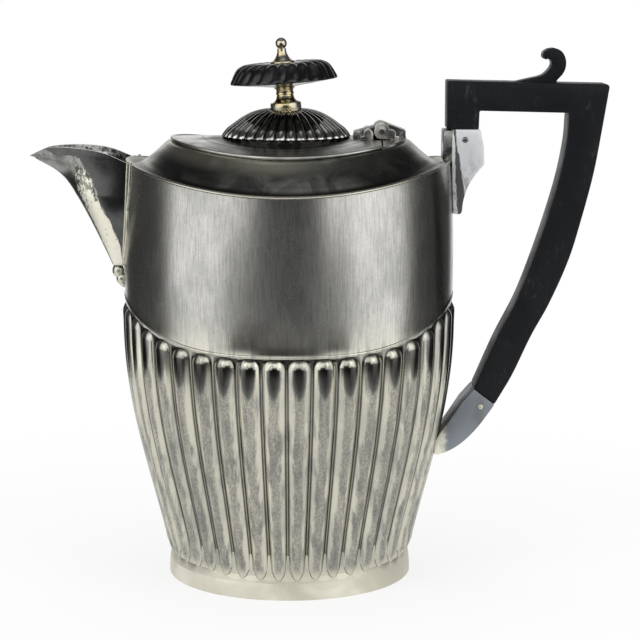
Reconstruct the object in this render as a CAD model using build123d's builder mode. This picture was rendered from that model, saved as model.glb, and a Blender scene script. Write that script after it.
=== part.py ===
from build123d import *
from bisect import bisect
import math
import os

# A silver-plated coffee pot: an oval body with vertical lobes, a hollow shoulder that curves
# down to the front and back, a hinged lid with a gadrooned dome, a cast spout and a wooden handle.
# Millimetres, +Z up. The origin is on the base plane, in the middle of the body.
# The handle points along +X and the spout along -X.

# Body
OVAL = 0.90
WALL = 1.0
FOOT_HALF = 47.6
WAIST_HALF = 46.7
WAIST_Z = 9.8
BELLY_HALF = 63.1
BELLY_Z = 100.0
RIM_HALF = 62.2
RIM_Z = 163.4
BELLY_SWELL = 1.2
UPPER_BULGE = 0.9

# Lobes of the lower body
LOBES = 40
LOBE_RISE = 1.2
LOBE_FILL = 0.86
LOBE_HEAD = 4.3
LOBE_TIP = 6.0
HEAD_Z = 95.4
HEAD_LIFT = 13.5
TIP_Z = 7.6
TIP_LIFT = 2.2
FLARE = 0.5
FLARE_MIDDLE = 2.3
BAND_ABOVE_HEADS = 8.1
BAND_TOP = HEAD_Z + HEAD_LIFT + BAND_ABOVE_HEADS

# Foot and floor
FOOT_HEIGHT = 6.5
FOOT_WIDTH = 3.2
FLOOR_THICKNESS = 1.0
FLOOR_GAP = 0.15

# The vault: the rim, the shoulder and the lid all bend down to the front and back on this radius
VAULT_R = 178.0
SHEET = 0.9

# Shoulder and neck
RIM_OVERHANG = 0.3
RIM_BEAD = 1.5
TROUGH_DEPTH = 1.6
NECK_TOP = 170.5
NECK_HALF = 45.2
SEAT_LEDGE = 3.7
SEAT_HALF = NECK_HALF - SEAT_LEDGE
SEAT_DEPTH = 1.2
SOLDER_GAP = 0.02

# Lid
LID_GAP = 0.15
LID_THICKNESS = 0.85
LID_BEAD = 0.5
LID_BEAD_WIDTH = 1.6
FLANGE_PLAY = 0.9
FLANGE_HALF = SEAT_HALF - FLANGE_PLAY
FLANGE_WALL = 0.8
FLANGE_DEPTH = 4.6

# Gadrooned dome of the lid
DOME_X = -0.9
DOME_R = 24.4
DOME_TOP = 182.6
DOME_CROWN_R = 6.2
DOME_LOBES = 36
DOME_LOBE_RISE = 0.6
DOME_WALL = 1.6

# Hinge
HINGE_INSET = 9.7
HINGE_X = NECK_HALF - HINGE_INSET
LID_EDGE_X = HINGE_X - 0.3
BED_EDGE_X = HINGE_X + 0.2
FLANGE_END_X = HINGE_X - 7.5
HINGE_Z = 174.2
KNUCKLE_R = 2.95
PIN_R = 1.0
PIN_PLAY = 0.05
HINGE_HALF = 11.0
MIDDLE_HALF = 3.7
KNUCKLE_GAP = 0.2
NOTCH_GAP = 0.15
LEAF_THICKNESS = 1.2
LEAF_RIDGE_R = 1.9
BODY_RIDGE_REACH = 3.4
LID_RIDGE_REACH = 5.1
LEAF_STRIP = 3.2
LEAF_TAB = 6.0
LEAF_TAB_HALF = 5.5

# Finial: it leans a little towards the spout
FINIAL_LEAN = 4.2
COLLAR_R = 5.85
COLLAR_HEIGHT = 3.2
STEM_R = 3.4
STEM_NECK = 6.4
DISC_SEAT = 9.2
DISC_SEAT_R = 4.8
DISC_R = 20.5
DISC_LOW = 10.6
DISC_SHOULDER_R = 16.3
DISC_SHOULDER = 16.7
DISC_TOP = 17.9
DISC_FLUTES = 24
DISC_FLUTE_RISE = 0.35
CAP_R = 4.75
CAP_NECK_R = 1.66
CAP_NECK = 21.3
BALL_R = 2.2
BALL_CENTRE = 24.4
STUD_R = 1.1
STUD_PLAY = 0.1
STUD_IN_CAP = 2.2
SPOT_FACE_R = 5.4
SPOT_FACE = -1.1
WASHER_R = 4.6
WASHER_THICKNESS = 0.8
NUT_FLATS = 5.5
NUT_THICKNESS = 2.2
STUD_BELOW_NUT = 0.9

# Spout
SPOUT_WALL = 1.1
SPOUT_LOW = 122.0
SPOUT_HIGH = 169.0
SPOUT_FLOOR = 126.0
SPOUT_ROOT_INSET = 7.2
SPOUT_ROOT_X = -RIM_HALF + SPOUT_ROOT_INSET
SPOUT_REACH = 37.3
SPOUT_TIP_X = -RIM_HALF - SPOUT_REACH
SPOUT_TIP_Z = 164.2
SPOUT_HALF = 14.0
KEEL_REACH = 31.2
BEAK_SOLID = 5.0
BEAK_START = 150.0
DROP_HALF = 2.6
DROP_LOW = 113.1

# Strainer holes in the wall behind the spout
STRAINER_Z = 141.0
STRAINER_PITCH = 5.6
STRAINER_HOLE_R = 1.7

# Handle
GRIP_HALF = 7.5
GRIP_TOP = 192.6
GRIP_LEFT = RIM_HALF - 1.8
GRIP_RIGHT = RIM_HALF + 59.5
LEG_RIGHT = RIM_HALF + 10.2
ARM_CHAMFER = 1.5
LONG_EDGE = 15.0
SCROLL_HALF = 4.0
TENON_GAP = 0.15
UPPER_TENON = 7.5
LOWER_TENON = 6.0
TENON_INSET = 1.3

# Sockets
SOCKET_HALF = 8.0
SOCKET_WALL = 1.0
SOCKET_TOP = 174.8
SOCKET_LEFT = RIM_HALF - 3.4
SOCKET_RIGHT = RIM_HALF + 10.7
SOCKET_BOTTOM = 142.6
SOCKET_CHAMFER = 2.5
TENON_LEFT = RIM_HALF - 0.7
JOINT_INNER = (RIM_HALF + 9.7, 74.2)
JOINT_OUTER = (RIM_HALF + 17.8, 68.0)
CROSS_PIN_R = 1.1
UPPER_PIN = (RIM_HALF + 5.0, 170.9)
LOWER_PIN = (RIM_HALF + 12.2, 67.2)
PIN_PROUD = 0.5

STEPS = 720

os.makedirs("parts", exist_ok=True)


# Shape of the body wall

def half_length(z):
    """Half of the body's length along X, at a height."""
    if z < WAIST_Z:
        s = (WAIST_Z - z) / WAIST_Z
        return WAIST_HALF + (FOOT_HALF - WAIST_HALF) * s * (2 - s)
    if z < BELLY_Z:
        s = (z - WAIST_Z) / (BELLY_Z - WAIST_Z)
        return WAIST_HALF + (BELLY_HALF - WAIST_HALF) * math.sin(math.pi / 2 * s) ** BELLY_SWELL
    s = (z - BELLY_Z) / (RIM_Z - BELLY_Z)
    return BELLY_HALF * (1 - s) + RIM_HALF * s + 4 * UPPER_BULGE * s * (1 - s)


def oval(half):
    """An ellipse with the body's proportions."""
    return Ellipse(half, OVAL * half)


def walk_round_oval():
    """Distance walked along the edge of an oval of unit length, at each step."""
    walked = [0.0]
    for step in range(STEPS):
        angle = 2 * math.pi * (step + 0.5) / STEPS
        walked.append(walked[-1] + math.hypot(math.sin(angle), OVAL * math.cos(angle)))
    return walked


WALKED = walk_round_oval()


def angle_at(share):
    """The oval's angle after a share of the way round its edge."""
    want = (share % 1) * WALKED[-1]
    step = max(0, min(bisect(WALKED, want), STEPS) - 1)
    part = (want - WALKED[step]) / (WALKED[step + 1] - WALKED[step])
    return 2 * math.pi * (step + part) / STEPS


def on_wall(angle, z, lift):
    """A point on the body wall, lifted off it outwards."""
    half = half_length(z)
    outward = Vector(OVAL * math.cos(angle), math.sin(angle), 0).normalized()
    return Vector(half * math.cos(angle), OVAL * half * math.sin(angle), z) + outward * lift


def head_line(angle):
    """Height of the lobes' heads: higher at the spout and the handle than at the front."""
    return HEAD_Z + HEAD_LIFT * math.cos(angle) ** 4


def tip_line(angle):
    """Height of the lobes' lower tips."""
    return TIP_Z + TIP_LIFT * math.cos(angle) ** 2


def between(share):
    """Heights at a share of the way from the tips to the heads."""
    return lambda angle: tip_line(angle) + (head_line(angle) - tip_line(angle)) * share


def lobed_ring(height, width, rise, lift=0.0):
    """A closed line round the body: an arc across each lobe and a straight edge across each channel."""
    arcs = []
    for n in range(LOBES):
        middle = (n + 0.5) / LOBES
        reach = 0.5 * LOBE_FILL * width / LOBES
        z = height(angle_at(middle))
        arcs.append(Edge.make_three_point_arc(
            on_wall(angle_at(middle - reach), z, lift),
            on_wall(angle_at(middle), z, lift + rise),
            on_wall(angle_at(middle + reach), z, lift)))
    edges = []
    for n in range(LOBES):
        edges.append(arcs[n])
        edges.append(Edge.make_line(arcs[n] @ 1, arcs[(n + 1) % LOBES] @ 0))
    return Wire(edges)


# Shape of the vault

def vault_z(top, y):
    """Height of the vaulted surface at a distance from the long middle line."""
    return top - VAULT_R + math.sqrt(VAULT_R ** 2 - y ** 2)


def vaulted_ring(half, top):
    """An oval line that follows the vault."""
    points = []
    for n in range(24):
        angle = 2 * math.pi * n / 24
        y = OVAL * half * math.sin(angle)
        points.append((half * math.cos(angle), y, vault_z(top, y)))
    return Wire([Edge.make_spline(points, periodic=True)])


def flat_ring(half, z):
    """A level oval line."""
    return Wire([Edge.make_spline(
        [(half * math.cos(2 * math.pi * n / 24), OVAL * half * math.sin(2 * math.pi * n / 24), z)
         for n in range(24)], periodic=True)])


def vaulted_band(section):
    """A closed section, given as (half length, height) pairs, taken round the oval on the vault."""
    rings = [vaulted_ring(half, top) for half, top in [*section, section[0]]]
    return Solid(Shell(Shell.make_loft(rings, ruled=True).faces()))


def vault_slab(low, high):
    """Section across the pot, between two vaulted lines."""
    with BuildSketch(Plane.YZ) as slab:
        with Locations((0, high)):
            Rectangle(120, 30)
        with Locations((0, high - VAULT_R)):
            Circle(VAULT_R, mode=Mode.INTERSECT)
        with Locations((0, low - VAULT_R)):
            Circle(VAULT_R, mode=Mode.SUBTRACT)
    return slab.sketch


def above_vault(height):
    """Section across the pot of everything above a vaulted line."""
    with BuildSketch(Plane.YZ) as above:
        with Locations((0, height + 10)):
            Rectangle(150, 70)
        with Locations((0, height - VAULT_R)):
            Circle(VAULT_R, mode=Mode.SUBTRACT)
    return above.sketch


def below_vault(height, x=0.0):
    """Section across the pot, at a place along it, of what lies just below a vaulted line."""
    with BuildSketch(Plane.YZ.offset(x)) as below:
        with Locations((0, height - 20)):
            Rectangle(120, 40)
        with Locations((0, height - VAULT_R)):
            Circle(VAULT_R, mode=Mode.INTERSECT)
    return below.sketch


# Body shell: the fluted band, built as one skin outside and one inside

BAND_RINGS = [
    lobed_ring(lambda angle: FOOT_HEIGHT, 0.3, 0.0),
    lobed_ring(tip_line, 0.3, 0.02),
    lobed_ring(lambda angle: tip_line(angle) + LOBE_TIP, 0.95, 0.9 * LOBE_RISE),
    lobed_ring(between(0.32), 1.0, LOBE_RISE),
    lobed_ring(between(0.62), 1.0, LOBE_RISE),
    lobed_ring(lambda angle: head_line(angle) - LOBE_HEAD, 1.0, LOBE_RISE),
    lobed_ring(lambda angle: head_line(angle) - 0.35 * LOBE_HEAD, 0.74, 0.8 * LOBE_RISE),
    lobed_ring(head_line, 0.2, 0.1 * LOBE_RISE),
    lobed_ring(lambda angle: head_line(angle) + FLARE_MIDDLE, 0.2, 0.0, FLARE),
    lobed_ring(lambda angle: BAND_TOP, 0.5, 0.0, 0.04 * FLARE),
]
band_outside = Solid.make_loft(BAND_RINGS, ruled=True)

with BuildPart() as band_inside:
    for z in (FOOT_HEIGHT, WAIST_Z, 26, 46, 70, BELLY_Z, BAND_TOP):
        with BuildSketch(Plane.XY.offset(z)):
            oval(half_length(z) - WALL)
    loft(ruled=True)

outer_ends = band_outside.faces().sort_by(Axis.Z)
inner_ends = band_inside.faces().sort_by(Axis.Z)
band_rims = [
    Face(outer_ends[0].outer_wire(), [inner_ends[0].outer_wire()]),
    Face(outer_ends[-1].outer_wire(), [inner_ends[-1].outer_wire()]),
]
fluted_band = Solid(Shell([*outer_ends[1:-1], *inner_ends[1:-1], *band_rims]))

# Body shell: the plain upper wall, its vaulted top edge and the strainer holes
with BuildPart() as upper_outside:
    for z in (BAND_TOP, 130, 142, 154, RIM_Z + 3):
        with BuildSketch(Plane.XY.offset(z)):
            oval(half_length(z))
    loft()

with BuildPart() as upper_form:
    add(upper_outside.part)
    extrude(above_vault(RIM_Z - SHEET - SOLDER_GAP), amount=80, both=True, mode=Mode.SUBTRACT)

with BuildPart() as body_shell:
    add(upper_form.part)
    for z in (BAND_TOP, 142, RIM_Z + 3):
        with BuildSketch(Plane.XY.offset(z)):
            oval(half_length(z) - WALL)
    loft(ruled=True, mode=Mode.SUBTRACT)
    with BuildSketch(Plane.YZ.offset(-RIM_HALF)):
        with Locations((0, STRAINER_Z)):
            Circle(STRAINER_HOLE_R)
            with PolarLocations(STRAINER_PITCH, 6):
                Circle(STRAINER_HOLE_R)
    extrude(amount=8, both=True, mode=Mode.SUBTRACT)
    add(fluted_band)

# Foot ring: a plain band with a concave flare
with BuildPart() as foot_ring:
    for z in (0, 2.2, FOOT_HEIGHT):
        with BuildSketch(Plane.XY.offset(z)):
            oval(half_length(z))
    loft(ruled=True)
    with BuildSketch():
        oval(FOOT_HALF - FOOT_WIDTH)
    extrude(amount=FOOT_HEIGHT, mode=Mode.SUBTRACT)

# Base plate: rests on the foot ring, inside the body wall
with BuildPart() as base_plate:
    with BuildSketch(Plane.XY.offset(FOOT_HEIGHT)):
        oval(half_length(WAIST_Z) - WALL - FLOOR_GAP)
    extrude(amount=FLOOR_THICKNESS)

# Shoulder collar: beaded rim, hollow trough and the cove up to the neck, all in one sheet
SHELF_Z = RIM_Z - SHEET
RIM_EDGE = RIM_HALF + RIM_OVERHANG
TROUGH = RIM_Z - TROUGH_DEPTH
SHOULDER_TOP_SIDE = [
    (RIM_EDGE, SHELF_Z),
    (RIM_EDGE - 0.2, RIM_Z),
    (RIM_EDGE - RIM_BEAD, RIM_Z - 0.1),
    (RIM_EDGE - 3.5, TROUGH),
    (RIM_EDGE - 7.5, TROUGH + 1.4),
    (RIM_EDGE - 12.0, TROUGH + 5.5),
    (NECK_HALF + 1.2, NECK_TOP - 0.7),
    (NECK_HALF, NECK_TOP),
]
NECK_INSIDE_TOP = (NECK_HALF - SHEET, NECK_TOP)
NECK_INSIDE_LOW = (NECK_HALF + 0.5, NECK_TOP - SEAT_DEPTH)
SHOULDER_UNDER_SIDE = [
    NECK_INSIDE_TOP,
    NECK_INSIDE_LOW,
    (RIM_EDGE - 12.7, TROUGH + 4.7),
    (RIM_EDGE - 7.9, TROUGH + 0.5),
    (RIM_EDGE - 3.4, TROUGH - SHEET),
    (RIM_EDGE - RIM_BEAD, SHELF_Z),
]
with BuildPart() as shoulder_collar:
    add(vaulted_band([*SHOULDER_TOP_SIDE, *SHOULDER_UNDER_SIDE]))

# The space under the shoulder's top side, which the socket is cut to sit on
shoulder_form = Solid.make_loft([
    flat_ring(RIM_HALF - 1.2, BAND_TOP + 20),
    vaulted_ring(RIM_HALF - 1.2, SHELF_Z),
    *[vaulted_ring(half, top) for half, top in SHOULDER_TOP_SIDE],
    flat_ring(NECK_HALF - 0.2, NECK_TOP + 6)], ruled=True)

# Seat ring: the ledge inside the neck
with BuildPart() as seat_ring:
    add(vaulted_band([
        NECK_INSIDE_TOP,
        NECK_INSIDE_LOW,
        (SEAT_HALF, NECK_TOP - SEAT_DEPTH),
        (SEAT_HALF, NECK_TOP)]))

# Hinge bed: the fixed strip behind the lid, with half of the notch for the knuckles
NOTCH_HALF_X = KNUCKLE_R + NOTCH_GAP
NOTCH_HALF_Y = HINGE_HALF + 0.5
BED_TOP = NECK_TOP + LID_GAP + LID_THICKNESS
with BuildPart() as hinge_bed:
    extrude(vault_slab(NECK_TOP + SOLDER_GAP, BED_TOP), amount=80, both=True)
    with BuildSketch(Plane.XY.offset(NECK_TOP - 20)):
        oval(NECK_HALF)
        with Locations((BED_EDGE_X, 0)):
            Rectangle(60, 120, align=(Align.MIN, Align.CENTER), mode=Mode.INTERSECT)
        with Locations((HINGE_X, 0)):
            Rectangle(2 * NOTCH_HALF_X, 2 * NOTCH_HALF_Y, mode=Mode.SUBTRACT)
    extrude(amount=40, mode=Mode.INTERSECT)

# Lid pan: a vaulted plate with a bead round its edge, a hole under the dome and half of the notch
LID_LOW = NECK_TOP + LID_GAP
DOME_HOLE_R = DOME_R - 2 * DOME_WALL
with BuildPart() as lid_pan:
    extrude(vault_slab(LID_LOW, BED_TOP), amount=80, both=True)
    with BuildSketch(Plane.XY.offset(NECK_TOP - 20)):
        oval(NECK_HALF)
    extrude(amount=40, mode=Mode.INTERSECT)
    add(vaulted_band([
        (NECK_HALF - LID_BEAD_WIDTH, BED_TOP - 0.3),
        (NECK_HALF - LID_BEAD_WIDTH + 0.5, BED_TOP + LID_BEAD),
        (NECK_HALF - 0.4, BED_TOP + LID_BEAD),
        (NECK_HALF - 0.1, BED_TOP - 0.3)]))
    with BuildSketch(Plane.XY.offset(NECK_TOP - 20)) as lid_openings:
        with Locations((LID_EDGE_X, 0)):
            Rectangle(60, 120, align=(Align.MIN, Align.CENTER))
        with Locations((HINGE_X, 0)):
            Rectangle(2 * NOTCH_HALF_X, 2 * NOTCH_HALF_Y)
        with Locations((DOME_X, 0)):
            Circle(DOME_HOLE_R)
    extrude(amount=40, mode=Mode.SUBTRACT)

# Lid flange: the bezel under the pan, open at the hinge
with BuildPart() as lid_flange:
    add(vaulted_band([
        (FLANGE_HALF, LID_LOW),
        (FLANGE_HALF, LID_LOW - FLANGE_DEPTH),
        (FLANGE_HALF - FLANGE_WALL, LID_LOW - FLANGE_DEPTH),
        (FLANGE_HALF - FLANGE_WALL, LID_LOW)]))
    with BuildSketch(Plane.XY.offset(NECK_TOP - 30)):
        with Locations((FLANGE_END_X, 0)):
            Rectangle(60, 120, align=(Align.MIN, Align.CENTER))
    extrude(amount=50, mode=Mode.SUBTRACT)


# Dome of the lid: convex gadroons that run up to the finial

def gadroon_ring(radius, z, rise, tilt):
    """A closed line of arcs, one across each gadroon. The crests are on the radius and height."""
    out = rise * math.cos(math.radians(tilt))
    up = rise * math.sin(math.radians(tilt))
    edges = []
    for n in range(DOME_LOBES):
        angles = [2 * math.pi * (n + share) / DOME_LOBES for share in (0, 0.5, 1)]
        heights = (z - up, z, z - up)
        radii = (radius - out, radius, radius - out)
        edges.append(Edge.make_three_point_arc(*[
            Vector(DOME_X + r * math.cos(a), r * math.sin(a), h)
            for a, r, h in zip(angles, radii, heights)]))
    return Wire(edges)


dome_outside = Solid.make_loft([
    gadroon_ring(DOME_R, DOME_TOP - 18, 0.0, 0),
    gadroon_ring(DOME_R, DOME_TOP - 10.8, 0.0, 0),
    gadroon_ring(DOME_R - 0.4, DOME_TOP - 9.4, DOME_LOBE_RISE, 15),
    gadroon_ring(DOME_R - 2.9, DOME_TOP - 6.8, DOME_LOBE_RISE, 38),
    gadroon_ring(DOME_R - 9.0, DOME_TOP - 2.7, 0.8 * DOME_LOBE_RISE, 52),
    gadroon_ring(DOME_CROWN_R, DOME_TOP, 0.0, 80)], ruled=True)

FINIAL = Plane(
    origin=(DOME_X, 0, DOME_TOP),
    x_dir=(math.cos(math.radians(FINIAL_LEAN)), 0, math.sin(math.radians(FINIAL_LEAN))),
    z_dir=(-math.sin(math.radians(FINIAL_LEAN)), 0, math.cos(math.radians(FINIAL_LEAN))))
FINIAL_SIDE = Plane(origin=FINIAL.origin, x_dir=FINIAL.x_dir, z_dir=(0, -1, 0))
FINIAL_AXIS = Axis(FINIAL.origin, FINIAL.z_dir)
STUD_HOLE_R = STUD_R + STUD_PLAY

with BuildPart() as lid_dome:
    add(dome_outside)
    with BuildSketch(Plane.XZ):
        with BuildLine():
            Polyline(
                (DOME_X, DOME_TOP - 20),
                (DOME_X + DOME_HOLE_R, DOME_TOP - 20),
                (DOME_X + DOME_HOLE_R, DOME_TOP - 9.8),
                (DOME_X + DOME_R - 9.4, DOME_TOP - 4.4),
                (DOME_X + DOME_CROWN_R, DOME_TOP - DOME_WALL),
                (DOME_X, DOME_TOP - DOME_WALL),
                (DOME_X, DOME_TOP - 20))
        make_face()
    revolve(axis=Axis((DOME_X, 0, 0), (0, 0, 1)), mode=Mode.SUBTRACT)
    extrude(below_vault(BED_TOP), amount=80, both=True, mode=Mode.SUBTRACT)
    with BuildSketch(FINIAL):
        Circle(STUD_HOLE_R)
    extrude(amount=6, both=True, mode=Mode.SUBTRACT)
    with BuildSketch(FINIAL.offset(SPOT_FACE)):
        Circle(SPOT_FACE_R)
    extrude(amount=-3, mode=Mode.SUBTRACT)

# Finial stem: the turned collar, neck and flare under the disc
with BuildPart() as finial_stem:
    with BuildSketch(FINIAL_SIDE):
        with BuildLine():
            Polyline(
                (STUD_HOLE_R, -1),
                (COLLAR_R, -1),
                (COLLAR_R, COLLAR_HEIGHT),
                (STEM_R + 0.9, COLLAR_HEIGHT + 0.4),
                (STEM_R - 0.4, COLLAR_HEIGHT + 1.2),
                (STEM_R - 0.6, STEM_NECK - 1.0),
                (STEM_R, STEM_NECK - 0.3),
                (STEM_R - 0.2, STEM_NECK + 0.4),
                (STEM_R + 0.3, DISC_SEAT - 1.3),
                (DISC_SEAT_R, DISC_SEAT),
                (STUD_HOLE_R, DISC_SEAT),
                (STUD_HOLE_R, -1))
        make_face()
    revolve(axis=FINIAL_AXIS)
    with BuildSketch(Plane.XY.offset(DOME_TOP)):
        Rectangle(40, 40)
    extrude(amount=-5, mode=Mode.SUBTRACT)


# Finial disc: black, with convex flutes that run out from the cap

def flute_ring(radius, height, rise, turn):
    """A closed line of arcs round the finial's axis, one across each flute."""
    edges = []
    for n in range(DISC_FLUTES):
        angles = [2 * math.pi * (n + share) / DISC_FLUTES + math.radians(turn) for share in (0, 0.5, 1)]
        radii = (radius - rise, radius, radius - rise)
        edges.append(Edge.make_three_point_arc(*[
            FINIAL.from_local_coords(Vector(r * math.cos(a), r * math.sin(a), height))
            for a, r in zip(angles, radii)]))
    return Wire(edges)


with BuildPart() as finial_disc:
    add(Solid.make_loft([
        flute_ring(DISC_SEAT_R, DISC_SEAT, 0.0, 0),
        flute_ring(DISC_R - 0.7, DISC_LOW - 0.6, DISC_FLUTE_RISE, 0),
        flute_ring(DISC_R, DISC_LOW, DISC_FLUTE_RISE, 0),
        flute_ring(DISC_R - 1.0, DISC_LOW + 3.6, DISC_FLUTE_RISE, 2),
        flute_ring(DISC_SHOULDER_R, DISC_SHOULDER, DISC_FLUTE_RISE, 4),
        flute_ring(CAP_R, DISC_TOP, 0.0, 8)], ruled=True))
    with BuildSketch(FINIAL):
        Circle(STUD_HOLE_R)
    extrude(amount=30, mode=Mode.SUBTRACT)

# Finial cap: the brass cone with its ball
with BuildPart() as finial_cap:
    with BuildSketch(FINIAL_SIDE):
        with BuildLine():
            Polyline(
                (0, DISC_TOP),
                (CAP_R, DISC_TOP),
                (CAP_R, DISC_TOP + 0.5),
                (CAP_NECK_R + 1.5, DISC_TOP + 1.4),
                (CAP_NECK_R + 0.5, DISC_TOP + 2.2),
                (CAP_NECK_R, CAP_NECK),
                (CAP_NECK_R, BALL_CENTRE),
                (0, BALL_CENTRE),
                (0, DISC_TOP))
        make_face()
    revolve(axis=FINIAL_AXIS)
    with Locations(FINIAL.offset(BALL_CENTRE)):
        Sphere(BALL_R)
    with BuildSketch(FINIAL.offset(DISC_TOP)):
        Circle(STUD_R)
    extrude(amount=STUD_IN_CAP, mode=Mode.SUBTRACT)

# Finial stud, washer and nut
WASHER_LOW = SPOT_FACE - WASHER_THICKNESS
NUT_LOW = WASHER_LOW - NUT_THICKNESS
STUD_LOW = NUT_LOW - STUD_BELOW_NUT
with BuildPart() as finial_stud:
    with BuildSketch(FINIAL.offset(STUD_LOW)):
        Circle(STUD_R)
    extrude(amount=DISC_TOP + STUD_IN_CAP - STUD_LOW)

with BuildPart() as finial_washer:
    with BuildSketch(FINIAL.offset(WASHER_LOW)):
        Circle(WASHER_R)
        Circle(STUD_HOLE_R, mode=Mode.SUBTRACT)
    extrude(amount=WASHER_THICKNESS)

with BuildPart() as finial_nut:
    with BuildSketch(FINIAL.offset(NUT_LOW)):
        RegularPolygon(NUT_FLATS / 2, 6, major_radius=False)
        Circle(STUD_R, mode=Mode.SUBTRACT)
    extrude(amount=NUT_THICKNESS)

# Hinge: both leaves lie on the vaulted top, with a ridge beside the knuckles
LEAF_TOP = BED_TOP + LEAF_THICKNESS
RIDGE_Z = HINGE_Z - 1.0
SWING_R = KNUCKLE_R + KNUCKLE_GAP


def leaf_outline(side):
    """Plan of a leaf: a strip beside the knuckles with a longer tab in the middle."""
    edge = Align.MIN if side > 0 else Align.MAX
    with BuildSketch(Plane.XY.offset(NECK_TOP - 10)) as outline:
        with Locations((HINGE_X + side * (NOTCH_HALF_X + NOTCH_GAP), 0)):
            Rectangle(LEAF_STRIP, 2 * HINGE_HALF, align=(edge, Align.CENTER))
            RectangleRounded(LEAF_TAB, 2 * LEAF_TAB_HALF, 1.5, align=(edge, Align.CENTER))
    return outline.sketch


with BuildPart() as hinge_body_leaf:
    extrude(vault_slab(BED_TOP, LEAF_TOP), amount=80, both=True)
    extrude(leaf_outline(1), amount=20, mode=Mode.INTERSECT)
    with BuildSketch(Plane.XZ):
        with Locations((HINGE_X + BODY_RIDGE_REACH, RIDGE_Z)):
            Circle(LEAF_RIDGE_R)
        with Locations((HINGE_X, HINGE_Z)):
            Circle(KNUCKLE_R)
    extrude(amount=HINGE_HALF, both=True)
    with BuildSketch(Plane.XZ):
        with Locations((HINGE_X, HINGE_Z)):
            Circle(SWING_R)
    extrude(amount=MIDDLE_HALF + KNUCKLE_GAP, both=True, mode=Mode.SUBTRACT)
    with BuildSketch(Plane.XZ):
        with Locations((HINGE_X, HINGE_Z)):
            Circle(PIN_R)
    extrude(amount=HINGE_HALF, both=True, mode=Mode.SUBTRACT)
    extrude(below_vault(BED_TOP, HINGE_X + NOTCH_HALF_X), amount=20, mode=Mode.SUBTRACT)

with BuildPart() as hinge_lid_leaf:
    extrude(vault_slab(BED_TOP, LEAF_TOP), amount=80, both=True)
    extrude(leaf_outline(-1), amount=20, mode=Mode.INTERSECT)
    with BuildSketch(Plane.XZ):
        with Locations((HINGE_X - LID_RIDGE_REACH, RIDGE_Z)):
            Circle(LEAF_RIDGE_R)
    extrude(amount=HINGE_HALF, both=True)
    with BuildSketch(Plane.XZ):
        with Locations((HINGE_X, HINGE_Z)):
            Circle(KNUCKLE_R)
        with Locations((HINGE_X, BED_TOP + 0.15)):
            Rectangle(LID_RIDGE_REACH, 2.0, align=(Align.MAX, Align.MIN))
    extrude(amount=MIDDLE_HALF, both=True)
    with BuildSketch(Plane.XZ):
        with Locations((HINGE_X, HINGE_Z)):
            Circle(PIN_R + PIN_PLAY)
    extrude(amount=MIDDLE_HALF, both=True, mode=Mode.SUBTRACT)
    extrude(below_vault(BED_TOP, HINGE_X - NOTCH_HALF_X), amount=-20, mode=Mode.SUBTRACT)

with BuildPart() as hinge_pin:
    with BuildSketch(Plane.XZ):
        with Locations((HINGE_X, HINGE_Z)):
            Circle(PIN_R)
    extrude(amount=HINGE_HALF + 0.4, both=True)


# Spout: level sections, pointed at the beak and rounded below, with a keel in front

def keel_x(z):
    """The keel's line, from the root under the spout up to the beak's tip."""
    low = (z - SPOUT_LOW) / (SPOUT_TIP_Z - SPOUT_LOW)
    return SPOUT_TIP_X + (KEEL_REACH - 4.0 * low) * (1 - low) ** 0.45


def spout_half(z):
    """Half width of the spout where it meets the body."""
    s = min(1.0, (z - SPOUT_LOW) / (BEAK_START - SPOUT_LOW))
    return 3.0 + (SPOUT_HALF - 3.0) * math.sin(math.pi / 2 * s) ** 0.8


def beak_share(z):
    """0 where the keel is round, 1 at the beak."""
    return max(0.0, min(1.0, (z - BEAK_START) / (SPOUT_TIP_Z - BEAK_START)))


def spout_section(z, root, keel, half):
    """Level section: nearly straight sides that round over into the keel, or draw in to the beak."""
    beak = beak_share(z)
    blunt = (1 - beak) * 0.85 * half + beak * 0.12 * half
    side = root + (keel - root) * (0.45 + 0.10 * beak)
    front = keel + (side - keel) * (0.35 * beak)
    return Wire([
        Edge.make_bezier((root, half, z), (side, 1.02 * half, z), (front, blunt, z), (keel, 0, z)),
        Edge.make_bezier((keel, 0, z), (front, -blunt, z), (side, -1.02 * half, z), (root, -half, z)),
        Edge.make_line((root, -half, z), (root, half, z))])


def hollow_section(z, keel):
    """Level section of the space inside the spout. The beak's tip stays solid."""
    front = keel + 1.5 * SPOUT_WALL + BEAK_SOLID * beak_share(z)
    return spout_section(z, SPOUT_ROOT_X + 2, front, spout_half(z) - SPOUT_WALL)


SPOUT_LEVELS = (SPOUT_LOW, 125, 129, 134, 141, 148, 154, 160, SPOUT_TIP_Z)
HOLLOW_LEVELS = (SPOUT_FLOOR, 129, 134, 141, 148, 154, 160, SPOUT_TIP_Z)

spout_outside = Solid.make_loft([
    *[spout_section(z, SPOUT_ROOT_X, keel_x(z), spout_half(z)) for z in SPOUT_LEVELS],
    spout_section(SPOUT_HIGH, SPOUT_ROOT_X, SPOUT_TIP_X - 6, SPOUT_HALF)])
spout_hollow = Solid.make_loft([
    *[hollow_section(z, keel_x(z)) for z in HOLLOW_LEVELS],
    hollow_section(SPOUT_HIGH + 1, SPOUT_TIP_X - 6)])

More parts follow.
